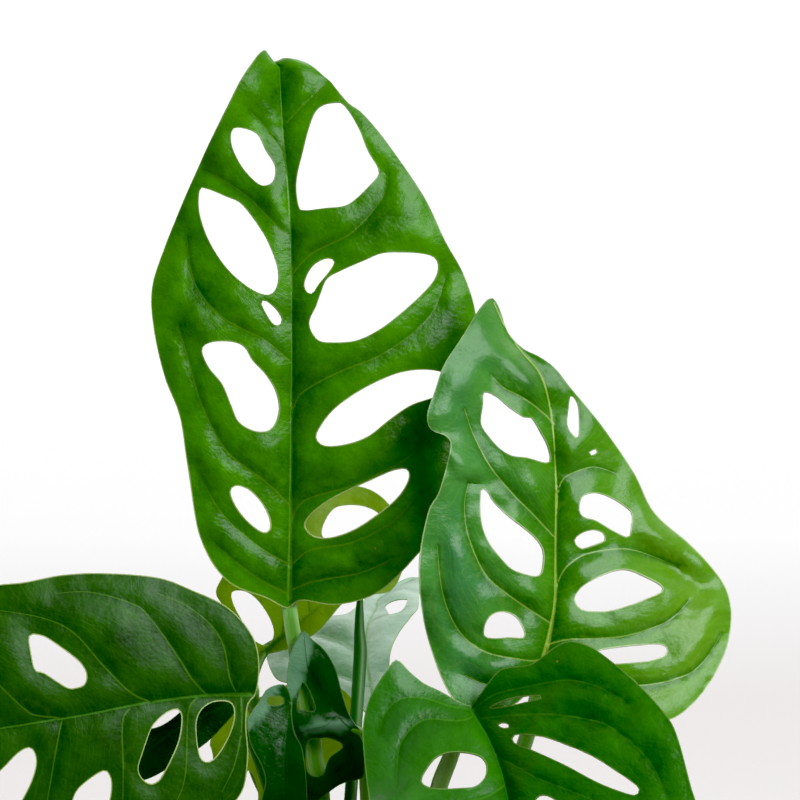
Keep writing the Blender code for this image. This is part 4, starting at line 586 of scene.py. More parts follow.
leaves["lobed"] = {
    **usualLeaf,
    "finish": "soft blade, dark green",
    "base": (-17.1, 180.0, 19),
    "size": 0.99,
    "midrib": [(0, 0), (-1.25, -9.25), (-1.75, -19.25), (-1.5, -31.75), (-1.5, -44.25)],
    "outline": [(0.3, 0.5), (0.2, -2.5), (1, -7.25), (2.75, -10.5), (3.5, -14), (4, -18.5), (4.25, -24.25),
     (4, -29.25), (1.75, -36.75), (-1.5, -44.25), (-5.25, -39.25), (-8.25, -31.75), (-7.25, -24.25),
     (-6.25, -19.25), (-7.25, -15.5), (-9, -12.25), (-10.25, -9.25), (-10.7, -4.75), (-9.6, -2), (-7.7, 0.5),
     (-5.75, 3.6), (-1.5, 4.6)],
    "holes": [[(-5.6, 1.5), (-2.2, 1.6), (-2, -0.25), (-5.5, -0.4)]],
    "veins": [[(-1, -8), (-4, -10), (-6, -14)], [(-1.7, -18), (1, -22), (2, -28)], [(-1.7, -24), (-5, -29),
     (-6, -34)]],
    "arch": [(0, 0), (20, 1.5), (46, -5)],
    "slope": ([(0, 0), (46, -0.1)], [(0, 0), (46, -0.1)]),
    "droop": ([(0, 2), (46, 4)], [(0, 2), (46, 4)]),
    "quilt": 0.5,
    "turned": [(-7.8, -0.5, 9, 2.2, 55, 0.9)],
    "edgeTurn": 0.2,
    "ribSize": 0.5,
}

leaves["behind"] = {
    **usualLeaf,
    "finish": "thin blade, yellow green",
    "base": (-25.3, 189.8, -40),
    "size": 1.022,
    "midrib": [(0, 0), (8, 7), (18, 15), (28, 22), (35.5, 28)],
    "outline": [(3.5, 0.75), (7, 1.75), (10.75, 3.75), (14.25, 6.25), (17, 9.25), (20.25, 13), (24, 14.75),
     (28.5, 15.25), (32.5, 16.25), (35, 20.75), (35.75, 27.5), (34, 33.75), (31.5, 38), (27.75, 41),
     (23.25, 42.25), (18.5, 41.5), (14, 38.75), (9.5, 35), (3.25, 30), (-3, 26.75), (-7.5, 23.25),
     (-10, 19.25), (-11.5, 15.5), (-9.25, 11.75), (-6.5, 7), (-4, 2.5), (-1, 0)],
    "holes": [[(-7.5, 15.75), (-4.25, 16), (-1, 13.75), (2, 9.25), (3, 5.5), (2, 2.75), (0.2, 2.5),
     (-2.75, 4.5), (-5, 8.75), (-7, 12.5)], [(15, 30), (15.75, 33.5), (18.25, 36.75), (22, 37.5), (26, 37),
     (29.5, 35), (31, 31.25), (27, 28.75), (22, 27.5), (17.5, 28)]],
    "veins": [[(5, 4.5), (5.5, 12), (2, 20), (-3, 23)], [(12, 10), (11, 20), (9, 28)], [(20, 16.5), (24, 25),
     (33, 30)]],
    "arch": [(0, 0), (20, 3), (46, -4)],
    "slope": ([(0, 0.05), (46, 0.05)], [(0, 0.05), (46, 0.05)]),
    "droop": ([(0, 3), (46, 3)], [(0, 4), (46, 4)]),
}

leaves["under"] = {
    **usualLeaf,
    "finish": "thin blade, yellow green",
    "base": (-15.25, 136.3, -18),
    "size": 1.01,
    "midrib": [(0, 0), (-4, 12), (-7, 25), (-5, 38), (1, 47.5)],
    "outline": [(0, -1), (-7.5, -2), (-15, 2.5), (-19.5, 11.25), (-21.5, 21.25), (-21.75, 28.75),
     (-22.5, 32.25), (-19.75, 35.75), (-16.25, 39.25), (-11.25, 42.5), (-5, 45.5), (1.25, 47.5), (7.5, 46.5),
     (12.5, 43.25), (15.5, 36.25), (14.25, 28.75), (11.25, 23.75), (7, 21.75), (4.5, 18.75), (3.5, 12.5),
     (2.25, 4)],
    "holes": [[(-14, 13), (-11, 15), (-10.5, 20), (-12.5, 25), (-15.5, 22), (-16, 17)]],
    "veins": [[(-3, 9), (-9, 11), (-15, 9)], [(-6.5, 24), (-12, 30), (-18, 31)], [(-6, 30), (1, 32),
     (9, 33)]],
    "arch": [(0, 0), (25, 3), (48, -3)],
    "slope": ([(0, 0.05), (48, 0.05)], [(0, 0.05), (48, 0.05)]),
    "droop": ([(0, 3), (48, 4)], [(0, 4), (48, 5)]),
}

leaves["shaded"] = {
    **usualLeaf,
    "finish": "soft blade, dark green",
    "base": (-30.3, 180.8, 8),
    "midrib": [(0, 0), (-8, -4), (-17, -9), (-25, -15.5), (-29.5, -21.5)],
    "outline": [(0.5, -0.5), (-0.75, -3.5), (-4.25, -7.5), (-7.5, -10.75), (-12, -14), (-17, -17.25),
     (-22, -20), (-26.5, -21.25), (-30, -21.8), (-31, -16), (-29, -11), (-26, -6), (-22, -1.5), (-17, 2),
     (-10.75, 4), (-4.5, 3.75), (-0.5, 2)],
    "holes": [[(-14.5, -3.5), (-13, -1.5), (-16.5, -1), (-21, -4.5), (-22, -7.5), (-18.5, -6.5)]],
    "veins": [[(-7, -3.5), (-11, 0), (-17, 0.5)], [(-16, -8.5), (-22, -9), (-27, -9)], [(-8, -4), (-11, -9),
     (-15, -13)], [(-16, -8.5), (-19, -13), (-24, -17.5)]],
    "arch": [(0, 0), (18, 1.5), (38, -2)],
    "slope": ([(0, -0.1), (38, -0.1)], [(0, 0.1), (38, 0.1)]),
    "droop": ([(0, 3), (38, 3)], [(0, 4), (38, 4)]),
}

leaves["level"] = {
    **usualLeaf,
    "finish": "thin blade, pale green",
    "base": (4.4, 176.1, -21),
    "turn": (math.radians(17), 0, 0),
    "midrib": [(0, 0), (-2, 15), (-3, 30), (-3, 45), (-1, 62), (1, 80), (9, 94)],
    "outline": [(0, -1.3), (-3.25, 0), (-9.5, 8), (-17.5, 13), (-25, 16), (-28.5, 27.9), (-27.5, 37.8),
     (-23.75, 42.5), (-17, 47.8), (-12, 49.8), (-8.25, 53.1), (-5.25, 62.4), (-2.75, 75.7), (3.75, 89),
     (10, 95.5), (11.5, 85), (10.75, 74.3), (10.25, 57.1), (8, 47.8), (5.25, 39.2), (3.25, 29.2), (2.5, 14.6),
     (1.5, 4)],
    "holes": [[(2, 67.5), (7, 67.7), (7.25, 63.7), (5.75, 54.5), (3, 53.8), (2.5, 58)]],
    "veins": [[(-2, 14), (-10, 18), (-20, 26)], [(-3, 28), (-10, 36), (-20, 42)], [(-2, 15), (1, 22)]],
    "arch": [(0, 0), (45, 3), (95, -3)],
    "slope": ([(0, 0.1), (95, 0.1)], [(0, 0.12), (95, 0.1)]),
    "droop": ([(0, 3), (95, 3)], [(0, 6), (95, 5)]),
    "quilt": 1.4,
}


heart = {   # shares of the half width across and of the length up, from the base round one side to the tip
    "half": [(0, -0.01), (0.22, -0.055), (0.56, -0.05), (0.82, 0.04), (0.97, 0.18), (1, 0.33), (0.91, 0.5),
             (0.71, 0.66), (0.44, 0.81), (0.2, 0.92), (0.06, 0.98), (0, 1.03)],
    "firstVein": 0.08, "veinSpan": 0.68, "veinRise": 0.2, "lean": math.radians(28),
    "holePlace": 0.46, "holeReach": 0.29, "holeGirth": 0.15, "holeCorners": 8,
}


def regularLeaf(finish, place, length, halfWidth, tip, face, windows):   # a guessed leaf, heart-shaped as usual
    right = [(x * halfWidth, y * length) for x, y in heart["half"]]
    margin = np.array(heart["half"][3:])
    cosLean, sinLean = math.cos(heart["lean"]), math.sin(heart["lean"])
    holes, veins = [], []
    for side in (1, -1):
        for k in range(windows + 1):
            start = (heart["firstVein"] + heart["veinSpan"] * k / windows) * length
            top = start + heart["veinRise"] * length
            width = float(np.interp(start / length + heart["veinRise"], margin[:, 1], margin[:, 0])) * halfWidth
            veins.append([(side * 0.4, start), (side * 0.4 * width, start + 0.13 * length),
                          (side * 0.8 * width, top)])
            if k == windows:
                continue
            ring = []
            for a in np.linspace(0, 2 * math.pi, heart["holeCorners"] + 1)[:-1]:
                u = heart["holeReach"] * width * math.cos(a)
                v = heart["holeGirth"] * length / windows * math.sin(a)
                ring.append((side * (heart["holePlace"] * width + u * cosLean - v * sinLean),
                             top + u * sinLean + v * cosLean))
            holes.append(ring)
    along = Vector(tip).normalized()
    across = along.cross(Vector(face)).normalized()
    slope, droop = [(0, 0.12), (length, 0.05)], [(0, 7), (length, 5)]
    return {
        **usualLeaf, "finish": finish, "place": place,
        "turn": Matrix((across, along, across.cross(along))).transposed().to_euler(),
        "outline": right + [(-x, y) for x, y in right[-2:0:-1]], "holes": holes, "veins": veins,
        "midrib": [(0, y * length) for y in (0, 0.35, 0.7, 1.03)],
        "arch": [(0, 0), (0.4 * length, 0.06 * length), (length, -0.1 * length)],
        "slope": (slope, slope), "droop": (droop, droop),
    }


guessedLeaves = {   # finish, base, length, half width, where the tip points and the face looks, holes a side
    "low_right": ("waxy blade, mid green",
                  (62, -5, 140), 92, 31, (0.82, -0.22, -0.52), (0.5, -0.1, 0.86), 3),
    "back_right": ("waxy blade, deep green",
                   (46, 51, 139), 84, 28, (0.62, 0.6, -0.5), (0.35, 0.3, 0.88), 3),
    "back_left": ("waxy blade, deep green",
                  (-45, 55, 139), 96, 32, (-0.66, 0.58, -0.48), (-0.35, 0.3, 0.88), 3),
    "low_front": ("waxy blade, mid green",
                  (-30, -40, 128), 70, 23, (-0.35, -0.76, -0.55), (-0.1, -0.4, 0.9), 2),
}
leaves.update({key: regularLeaf(*values) for key, values in guessedLeaves.items()})


# Materials

def colour(hexValue):   # sRGB to linear
    parts = [int(hexValue[i:i + 2], 16) / 255 for i in (1, 3, 5)]
    return (*(p / 12.92 if p <= 0.04045 else ((p + 0.055) / 1.055) ** 2.4 for p in parts), 1)


def addNode(tree, kind, inputs=None, give=0, **settings):   # gives one of the new node's outputs
    made = tree.nodes.new("ShaderNode" + kind)
    for key, value in settings.items():
        setattr(made, key, value)
    for key, value in (inputs or {}).items():
        if isinstance(value, bpy.types.NodeSocket):
            tree.links.new(value, made.inputs[key])
        else:
            made.inputs[key].default_value = colour(value) if isinstance(value, str) else value
    return made.outputs[give] if made.outputs else None


def newTree(name):
    made = bpy.data.materials.new(name)
    made.use_nodes = True
    made.node_tree.nodes.clear()
    return made, made.node_tree


def layered(tree, tint, layers):   # each layer is a mask, its share, and the colour that it lays over the rest
    for mask, share, over in layers:
        part = addNode(tree, "Math", {0: mask, 1: share}, operation="MULTIPLY")
        tint = addNode(tree, "Mix", {"Factor": part, 6: tint, 7: over}, 2, data_type="RGBA")
    return tint


def leafMaterial(name, look):
    # A waxy leaf: a satin film over mottled green tissue, thin pale veins, light through it from behind
    made, tree = newTree(name)
    surface = addNode(tree, "UVMap", uv_map="surface")   # 1 is 100 mm
    mark = {key: addNode(tree, "Attribute", give="Fac", attribute_name=key)
            for key in ("rib", "vein", "rim", "nerve", "under")}
    across, rise = (addNode(tree, "SeparateXYZ", {0: surface}, axis) for axis in "XY")
    # mottling of 12 mm, swellings of 4 mm, a grain of 0.7 mm, a net of 2 mm, specks 11 mm apart
    mottle = addNode(tree, "TexNoise", {"Vector": surface, "Scale": 8.0, "Detail": 4.0, "Roughness": 0.6})
    swell = addNode(tree, "TexNoise", {"Vector": surface, "Scale": 26.0, "Detail": 2.0})
    cells = addNode(tree, "TexNoise", {"Vector": surface, "Scale": 150.0, "Detail": 2.0})
    net = addNode(tree, "TexVoronoi", {"Vector": surface, "Scale": 45.0}, feature="DISTANCE_TO_EDGE")
    speck = addNode(tree, "TexVoronoi", {"Vector": surface, "Scale": 9.0})
    chosen = addNode(tree, "SeparateColor", {0: speck.node.outputs["Color"]})
    chosen = addNode(tree, "Math", {0: chosen, 1: 0.72}, operation="GREATER_THAN")
    # fine nerves 1.7 mm apart, that wander a little
    path = addNode(tree, "Math", {0: mark["nerve"], 1: 1.7}, operation="DIVIDE")
    path = addNode(tree, "Math", {0: mottle, 1: 2.4, 2: path}, operation="MULTIPLY_ADD")
    path = addNode(tree, "Math", {0: path, 1: 0.5}, operation="PINGPONG")
    toVein = addNode(tree, "Math", {0: mark["vein"], 1: mark["rib"]}, operation="MINIMUM")
    reaches = {   # each mask is 1 up to the first distance and 0 from the second on
        "veins": (mark["vein"], 0.10, 0.34), "rib": (mark["rib"], 0.55, 1.05), "veinShade": (toVein, 0.3, 3.4),
        "rim": (mark["rim"], 0.12, 0.38), "margin": (mark["rim"], 0.0, 11.0), "nerves": (path, 0.0, 0.13),
        "net": (net, 0.0, 0.10), "speck": (speck, 0.015, 0.035),
    }
    mask = {key: addNode(tree, "MapRange", {"Value": value, "From Min": full, "From Max": none, "To Min": 1.0,
                                            "To Max": 0.0}, interpolation_type="SMOOTHSTEP")
            for key, (value, full, none) in reaches.items()}
    fine = [addNode(tree, "Math", {0: mask[key], 1: share}, operation="MULTIPLY")
            for key, share in (("nerves", 0.8), ("net", 0.22))]
    fine = addNode(tree, "Math", {0: fine[0], 1: fine[1]}, operation="MAXIMUM")
    chosen = addNode(tree, "Math", {0: mask["speck"], 1: chosen}, operation="MULTIPLY")
    spread = addNode(tree, "MapRange", {"Value": mottle, "From Min": 0.33, "From Max": 0.66})
    paler = addNode(tree, "Math", {0: cells, 1: 0.35}, operation="SUBTRACT")
    rimGlintFade = addNode(tree, "MapRange", {   # the cream rim, partly the pale edge and partly a painted highlight where the edge catches the light, dies out towards the tip
        "Value": rise, "From Min": 0.2, "From Max": 0.7, "To Min": look["rimAndGlintShare"],
        "To Max": look["rimAndGlintShare"] * 0.25})
    layers = [(spread, 1.0, "fresh")]
    halves = {"paintedLitHalf": (0.04, 0.34, 0.7), "paintedSheenHalf": (0.0, -0.22, 0.6)}   # painted light: yellower where the right half is lit, and a painted bluish sheen on the left half
    for key, (start, end, share) in halves.items():
        if key in look:
            half = addNode(tree, "MapRange", {"Value": across, "From Min": start, "From Max": end})
            layers.append((half, share, key))
    # painted shade: darker beside every vein, where the sunken veins lie in shade; paler towards every rim
    layers += [(mask["veinShade"], look["veinShade"], "deep"), (mask["margin"], 0.45, "fresh"), (paler, 0.5, "fresh"),
               (fine, look["fine"], "vein"), (mark["under"], 1.0, "under"),
               (mask["veins"], look["veinShare"], "vein"), (mask["rib"], 0.8, "rib"),
               (mask["rim"], rimGlintFade, "rim"), (chosen, 0.7, "speck")]
    tissue = layered(tree, look["deep"], [(part, share, look[key]) for part, share, key in layers])
    glow = layered(tree, look["through"], [(spread, 1.0, look["throughPale"]), (fine, 0.25, look["vein"]),
                                           (mask["veins"], 1.0, look["rib"])])
    relief = 0.0
    for part, share in ((mottle, 1.2), (cells, 0.16), (fine, -0.05), (swell, 0.9)):
        relief = addNode(tree, "Math", {0: part, 1: share, 2: relief}, operation="MULTIPLY_ADD")
    bump = addNode(tree, "Bump", {"Height": relief, "Strength": look["bump"], "Distance": 0.0007})
    rough = addNode(tree, "MapRange", {"Value": cells, "From Min": 0.3, "From Max": 0.7,
                                       "To Min": look["gloss"] - 0.05, "To Max": look["gloss"] + 0.07})
    rough = addNode(tree, "Math", {0: mark["under"], 1: 0.18, 2: rough}, operation="MULTIPLY_ADD")
    film = addNode(tree, "BsdfPrincipled", {
        "Base Color": tissue, "Roughness": rough, "IOR": 1.42, "Normal": bump, "Coat Weight": look["wax"],
        "Coat Roughness": 0.2, "Coat IOR": 1.4})
    through = addNode(tree, "BsdfTranslucent", {"Color": glow, "Normal": bump})
    both = addNode(tree, "MixShader", {0: look["thin"], 1: film, 2: through})
    addNode(tree, "OutputMaterial", {"Surface": both})
    return made


# the share of painted shade beside the veins, and of the cream rim that is partly a painted highlight, are set
# here for all leaves
matureGreen = {
    "deep": "#144c03", "fresh": "#549c08", "vein": "#709c28", "rib": "#67a034", "rim": "#c6d389",
    "under": "#5d8a4b", "speck": "#b9b64e", "through": "#4a9a06", "throughPale": "#7cba12", "thin": 0.18,
    "gloss": 0.31, "wax": 0.0, "bump": 0.55, "veinShade": 0.55, "fine": 0.15, "veinShare": 0.55, "rimAndGlintShare": 0.85,
}
leafLooks = {
    "waxy blade, deep green": {},
    # painted light: the yellower right half stands in for light falling on it, and the bluish left half is a
    # painted sheen
    "waxy blade, glossy": {
        "deep": "#1d6208", "fresh": "#549c1a", "paintedLitHalf": "#86b428", "paintedSheenHalf": "#4f9464", "vein": "#a3c65a",
        "rib": "#b5cf5a", "rim": "#d3dea4", "veinShade": 0.8, "gloss": 0.33, "wax": 0.45, "thin": 0.26,
        "bump": 0.6, "veinShare": 0.7},
    "waxy blade, grainy": {
        "deep": "#194003", "fresh": "#2f6404", "vein": "#5f9226", "rib": "#4f8a2c", "gloss": 0.45,
        "veinShare": 0.6, "thin": 0.07, "bump": 0.5},
    # the bluish left half is a painted sheen
    "waxy blade, mid green": {
        "deep": "#1c5606", "fresh": "#388012", "paintedSheenHalf": "#417a3a", "vein": "#4f8f22", "rib": "#43862a",
        "gloss": 0.34, "thin": 0.1, "rimAndGlintShare": 0.25},
    "soft blade, dark green": {
        "deep": "#113f05", "fresh": "#1c550c", "under": "#6f9d76", "vein": "#2c651c", "rib": "#275c1a",
        "rim": "#7f9c62", "veinShare": 0.35, "rimAndGlintShare": 0.4, "fine": 0.08, "gloss": 0.34},
    # painted light: the yellow green is painted paler than the leaf's own, for the light that comes through it
    # in the shade
    "thin blade, yellow green": {
        "deep": "#8dae3a", "fresh": "#b0ca58", "vein": "#b1c85a", "through": "#a8cc24",
        "throughPale": "#c3dc50", "thin": 0.6, "gloss": 0.4},
    # painted sheen: the pale, almost white green stands in for the sheen on the level leaf
    "thin blade, pale green": {
        "deep": "#6cb272", "fresh": "#d8f2e6", "vein": "#cfe6b4", "through": "#9ed07a",
        "throughPale": "#c6eaa6", "thin": 0.5, "gloss": 0.3, "wax": 0.4},
}
finishes = {key: leafMaterial(key.capitalize(), {**matureGreen, **look}) for key, look in leafLooks.items()}


def stalkMaterial(name, look):
    # Smooth juicy stalk: green with fine lengthwise streaks, paler on its wings, brown at old scars
    made, tree = newTree(name)
    surface = addNode(tree, "UVMap", uv_map="surface")
    wing, scar = (addNode(tree, "Attribute", give="Fac", attribute_name=key) for key in ("wing", "scar"))
    stretched = addNode(tree, "Mapping", {"Vector": surface, "Scale": (14.0, 5.0, 1.0)})
    streaks = addNode(tree, "TexNoise", {"Vector": stretched, "Scale": 1.0, "Detail": 4.0})
    flecks = addNode(tree, "TexNoise", {"Vector": surface, "Scale": 90.0, "Detail": 2.0})   # 1 mm flecks
    tint = layered(tree, look["deep"], [(streaks, 1.0, look["fresh"]), (wing, 1.0, look["wing"]),
                                        (scar, 1.0, look["scar"])])
    relief = addNode(tree, "Math", {0: streaks, 1: flecks}, operation="ADD")
    bump = addNode(tree, "Bump", {"Height": relief, "Strength": 0.5, "Distance": 0.0003})
    rough = addNode(tree, "MapRange", {"Value": flecks, "To Min": look["gloss"] - 0.08,
                                       "To Max": look["gloss"] + 0.1})
    film = addNode(tree, "BsdfPrincipled", {
        "Base Color": tint, "Roughness": rough, "IOR": 1.42, "Normal": bump,
        "Subsurface Weight": look["soft"], "Subsurface Radius": (0.4, 1.0, 0.15), "Subsurface Scale": 0.0015})
    addNode(tree, "OutputMaterial", {"Surface": film})
    return made


stalkLooks = {
    "Juicy leaf stalk": {"deep": "#549428", "fresh": "#7cb84a", "wing": "#b0cc8c", "scar": "#8a7a4a",
                         "gloss": 0.42, "soft": 0.15},
    # painted light: a lighter copy of the stalk, for a stalk that stands in shade
    "Juicy leaf stalk, painted lighter": {"deep": "#7fb552", "fresh": "#a2d173", "wing": "#c0dc9c", "scar": "#8a7a4a",
                               "gloss": 0.42, "soft": 0.15},
    "Climbing stem": {"deep": "#47701f", "fresh": "#6b8c3a", "wing": "#93a86a", "scar": "#7d6238",
                      "gloss": 0.5, "soft": 0.1},
    "Dry aerial root": {"deep": "#6b4a2c", "fresh": "#94714a", "wing": "#a98a5f", "scar": "#5d4126",
                        "gloss": 0.7, "soft": 0.0},
    "Rolled young blade": {"deep": "#2c6a22", "fresh": "#3f8636", "wing": "#9cc48a", "scar": "#7d8a4a",
                           "gloss": 0.36, "soft": 0.1},
}
finishes.update({name: stalkMaterial(name, look) for name, look in stalkLooks.items()})
print("materials of the plant made")

for key, leaf in leaves.items():
    addBlade(key, leaf)

stems = {   # path, radius, heights of its nodes
    "stem_main": ([(-6, 5, 63.4), (-6, 5, 97), (-4.7, 5, 114), (-4, 5.5, 130), (-3.5, 6, 146)], 3.0,
                  (103, 112, 124, 138)),
    "stem_right": ([(20, -8, 63.4), (20, -8, 97), (21, -6, 115), (23, -4, 130), (25, -3, 141)], 3.0,
                   (104, 118, 132)),
    "stem_back": ([(4, 26, 63.4), (4, 26, 97), (4, 27, 120), (3, 29, 138)], 2.75, (102, 108, 116, 128)),
}
stalks = {   # stem, height on it, bearing round it, places as seen from the front, foot and head radius
    "tall": ("stem_main", 122, 180, [(-9.5, 155, 7), (-11, 165, 7.5), (-13.25, 180, 8.5), (-15.75, 192.5, 9.6),
                                     (-17.2, 201, 10.2)], 2.1, 1.9),
    "side": ("stem_main", 103, 199, [(-16, 135, 9.2), (-18, 155, 8.6), (-20.5, 165, 9), (-23.5, 173.75, 11),
                                     (-26.6, 180.4, 14.5)], 1.9, 1.7),
    "young": ("stem_main", 124, 0, [(1.5, 150, 8.6), (1.2, 160, 10.2), (0.9, 166, 11)], 1.4, 1.2),
    "lobed": ("stem_main", 112, 270, [(-8, 136, 11.5), (-12.3, 146, 13.2), (-15, 154, 14.8), (-17.6, 167, 15.2),
                                      (-18, 175, 16)], 1.2, 0.75),
    "shaded": ("stem_main", 112, 130, [(-15, 136, 1.5), (-20, 150, 2.5), (-25, 164, 3.8), (-28.5, 174, 5)],
               1.4, 1.2),
    "low_front": ("stem_main", 101, 250, [(-16, 112, 23.7), (-25, 120, 41)], 1.6, 1.4),
    "creased": ("stem_right", 124, 0, [(31, 141, 16), (35, 155, 17), (40.75, 170, 21), (43.3, 180, 25),
                                       (44.8, 188, 26.4)], 2.0, 1.8),
    "front": ("stem_right", 118, 230, [(18.4, 134, 21.7), (18.6, 147, 24), (19.25, 158.5, 27), (22.25, 167, 30),
                                       (25.5, 175, 33.5)], 2.2, 1.8),
    "low_right": ("stem_right", 104, 345, [(40, 120.7, 20.6), (55, 133.8, 19.7)], 1.9, 1.6),
    "behind": ("stem_back", 116, 135, [(-8, 131, -26), (-19, 146, -30), (-27, 161, -34), (-28.8, 173.4, -38),
                                       (-27.8, 183.4, -41.5)], 1.6, 1.4),
    "under": ("stem_back", 102, 185, [(-8, 115, -18.5), (-13, 126, -19.5)], 1.6, 1.4),
    "level": ("stem_back", 124, 10, [(6.5, 150, -19.5), (4.6, 165, -22.3)], 1.6, 1.4),
    "back_right": ("stem_back", 106, 30, [(22, 124.7, -25.2), (38, 136, -35)], 1.7, 1.5),
    "back_left": ("stem_back", 107, 100, [(-14, 125.2, -31.2), (-34, 138.5, -38.5)], 1.8, 1.5),
}
stalkForm = {
    "clearance": 0.35, "hug": 6.0, "sunk": 3.0, "wingAngle": 0.85, "wingSpread": 0.2, "wingHeight": 0.20,
    "channel": 0.22, "channelSpread": 0.5, "fadeAt": 10, "fadeOver": 15, "least": 0.25,
    "swelling": 0.14, "swellAt": 6, "swellOver": 4.5,
    # how deep the head lies behind the midrib, as a share of its radius and more millimetres
    "headDepths": [(1.3, 0.4), (1.05, 0.5), (0.7, 0.6), (0.35, 0.7)], "headTaper": [0.75, 0.5], "headTip": 0.3,
}


def wingShare(angles):   # 1 on the two wings, 0 away from them
    return np.exp(-((np.abs(wrapped(angles)) - stalkForm["wingAngle"]) / stalkForm["wingSpread"]) ** 2)


def wingedShape(angles, at, length):   # a channel on the upper side between two wings, lower near the blade
    lower = np.clip((length - stalkForm["fadeAt"] - at) / stalkForm["fadeOver"], stalkForm["least"], 1)
    channel = stalkForm["channel"] * np.exp(-(wrapped(angles) / stalkForm["channelSpread"]) ** 2)
    fromSwelling = (length - stalkForm["swellAt"] - at) / stalkForm["swellOver"]
    swelling = stalkForm["swelling"] * math.exp(-fromSwelling**2)
    return 1 + swelling + lower * (stalkForm["wingHeight"] * wingShare(angles) - channel)


def stalkPath(leaf, stem, level, bearing, middle, footRadius, headRadius):   # places and radii, foot to head
    stemPath, stemRadius, _ = stems[stem]
    line = smoothLine(stemPath, 2.0)
    off = stemRadius + footRadius + stalkForm["clearance"]
    path = []
    # it starts inside the stem's skin, then hugs the stem
    for rise, reach in ((-stalkForm["sunk"], off - footRadius), (0, off), (stalkForm["hug"], off)):
        x, y = (np.interp(level + rise, line[:, 2], line[:, axis]) for axis in (0, 1))
        path.append((x + reach * math.cos(math.radians(bearing)), y + reach * math.sin(math.radians(bearing)),
                     level + rise))
    path += [tuple(fromFront(*place)) for place in middle]
    matrix = bladeMatrix(leaf)
    rib = smoothLine(leaf["midrib"], 1.0)[:19]
    ahead = (matrix.to_3x3() @ Vector((*(rib[4] - rib[0]), 0))).normalized()
    onward = (Vector(path[-1]) - Vector(path[-2])).normalized() @ ahead   # below 0 where the blade hangs down
    rib = rib[[0, 5, 11, 18] if onward > 0.3 else [0, 1, 2, 3] if onward > -0.3 else [3, 2, 1, 0]]
    # it ends behind the midrib, thinner and thinner
    form, right, left = (np.column_stack([rib + (shift, 0), bladeHeight(rib + (shift, 0), leaf)])
                         for shift in (0, 0.5, -0.5))
    form = form * leaf["size"]
    out = np.cross(right - left, np.gradient(form, axis=0))
    out *= (np.sign(out[:, 2]) / np.linalg.norm(out, axis=1))[:, None]
    for place, way, (share, extra) in zip(form, out, stalkForm["headDepths"]):
        path.append(tuple(matrix @ Vector(place - way * (headRadius * share + extra))))
    free = np.linspace(footRadius * 1.05, headRadius, len(path) - 5)
    radii = [footRadius * 1.25, footRadius * 1.12, *free,
             *(headRadius * share for share in stalkForm["headTaper"]), stalkForm["headTip"]]
    smooth = smoothLine([(*p, r) for p, r in zip(path, radii)], 1.6)
    # no part of it comes through the front of the blade
    turn, shift = np.array(matrix)[:3, :3], np.array(matrix)[:3, 3]
    own = (smooth[:, :3] - shift) @ turn
    outline = smoothLine(leaf["outline"], 2.0, closed=True)
    spots = own[:, :2] / leaf["size"]
    past = np.where(inside(spots, outline), 0, outlineGap(spots, outline))
    deepest = bladeHeight(spots, leaf) * leaf["size"] - smooth[:, 3] * 1.3 - 0.45 + 3 * past
    own[:, 2] = np.minimum(own[:, 2], deepest)
    return own @ turn.T + shift, smooth[:, 3], matrix.to_3x3() @ Vector((0, 0, 1))


for key, stalk in stalks.items():
    path, radii, upward = stalkPath(leaves[key], *stalk)
    points, faces, uv, turns = tubeAlong(path, radii, 20, upward, wingedShape)
    run = np.array([v for _, v in uv]) * 100
    # the front leaf's stalk lies in its blade's shade and gets the copy painted lighter
    finish = finishes["Juicy leaf stalk, painted lighter" if key == "front" else "Juicy leaf stalk"]
    marks = {"wing": wingShare(turns) * np.clip((run.max() - 8 - run) / 10, stalkForm["least"], 1),
             "scar": np.exp(-run / 2.5) * 0.8}
    enlist(meshPiece(f"petiole_{key}", points, faces, finish, uv, marks), "stalk", f"stalk_{key}")
print("stalks made")

stemForm = {"between": 0.97, "swelling": 0.16, "swellReach": 1.6, "scarReach": 0.6, "barkTop": 108,
            "barkOver": 14, "barkShare": 0.7}
for name, (stemPath, radius, nodes) in stems.items():
    smooth = smoothLine(stemPath, 0.9)
    swollen = radius * stemForm["between"] + radius * stemForm["swelling"] * sum(
        np.exp(-((smooth[:, 2] - node) / stemForm["swellReach"]) ** 2) for node in nodes)
    points, faces, uv, turns = tubeAlong(
        smooth, swollen, 28, (0, -1, 0),
        lambda a, at, length: 1 + 0.03 * np.sin(3 * a + 0.12 * at) + 0.02 * np.sin(7 * a))
    scars = np.max([np.exp(-((points[:, 2] - node) / stemForm["scarReach"]) ** 2) for node in nodes], axis=0)
    bark = np.clip((stemForm["barkTop"] - points[:, 2]) / stemForm["barkOver"], 0, 1) * stemForm["barkShare"]
    marks = {"wing": 0 * scars, "scar": np.maximum(scars, bark)}
    enlist(meshPiece(name + "_knotty", points, faces, finishes["Climbing stem"], uv, marks), "stem", name)
print("stems made")

# The new leaf, still rolled round itself: its free edge runs down its right side
newLeaf = {
    "path": [(-3.4, 146.6, 6.8), (-2.5, 155, 6), (-1.25, 172.5, 5), (-0.4, 185, 4.5), (0, 192.5, 4.3),
             (-0.2, 198, 4.2), (-0.1, 204, 4.1), (0.3, 209, 4)],
    "radii": [1.5, 1.6, 1.6, 1.65, 1.65, 1.3, 0.9, 0.35], "inner": 0.84, "overlap": 0.26, "edgeAt": 0.55,
}


def rolledShape(angles, at, length):   # a spiral whose step is the free edge
    way = ((angles - newLeaf["edgeAt"] + 0.25 * math.sin(at / 9)) % (2 * math.pi)) / (2 * math.pi)
    return newLeaf["inner"] + newLeaf["overlap"] * (1 - way) * np.clip(way / 0.03, 0, 1)


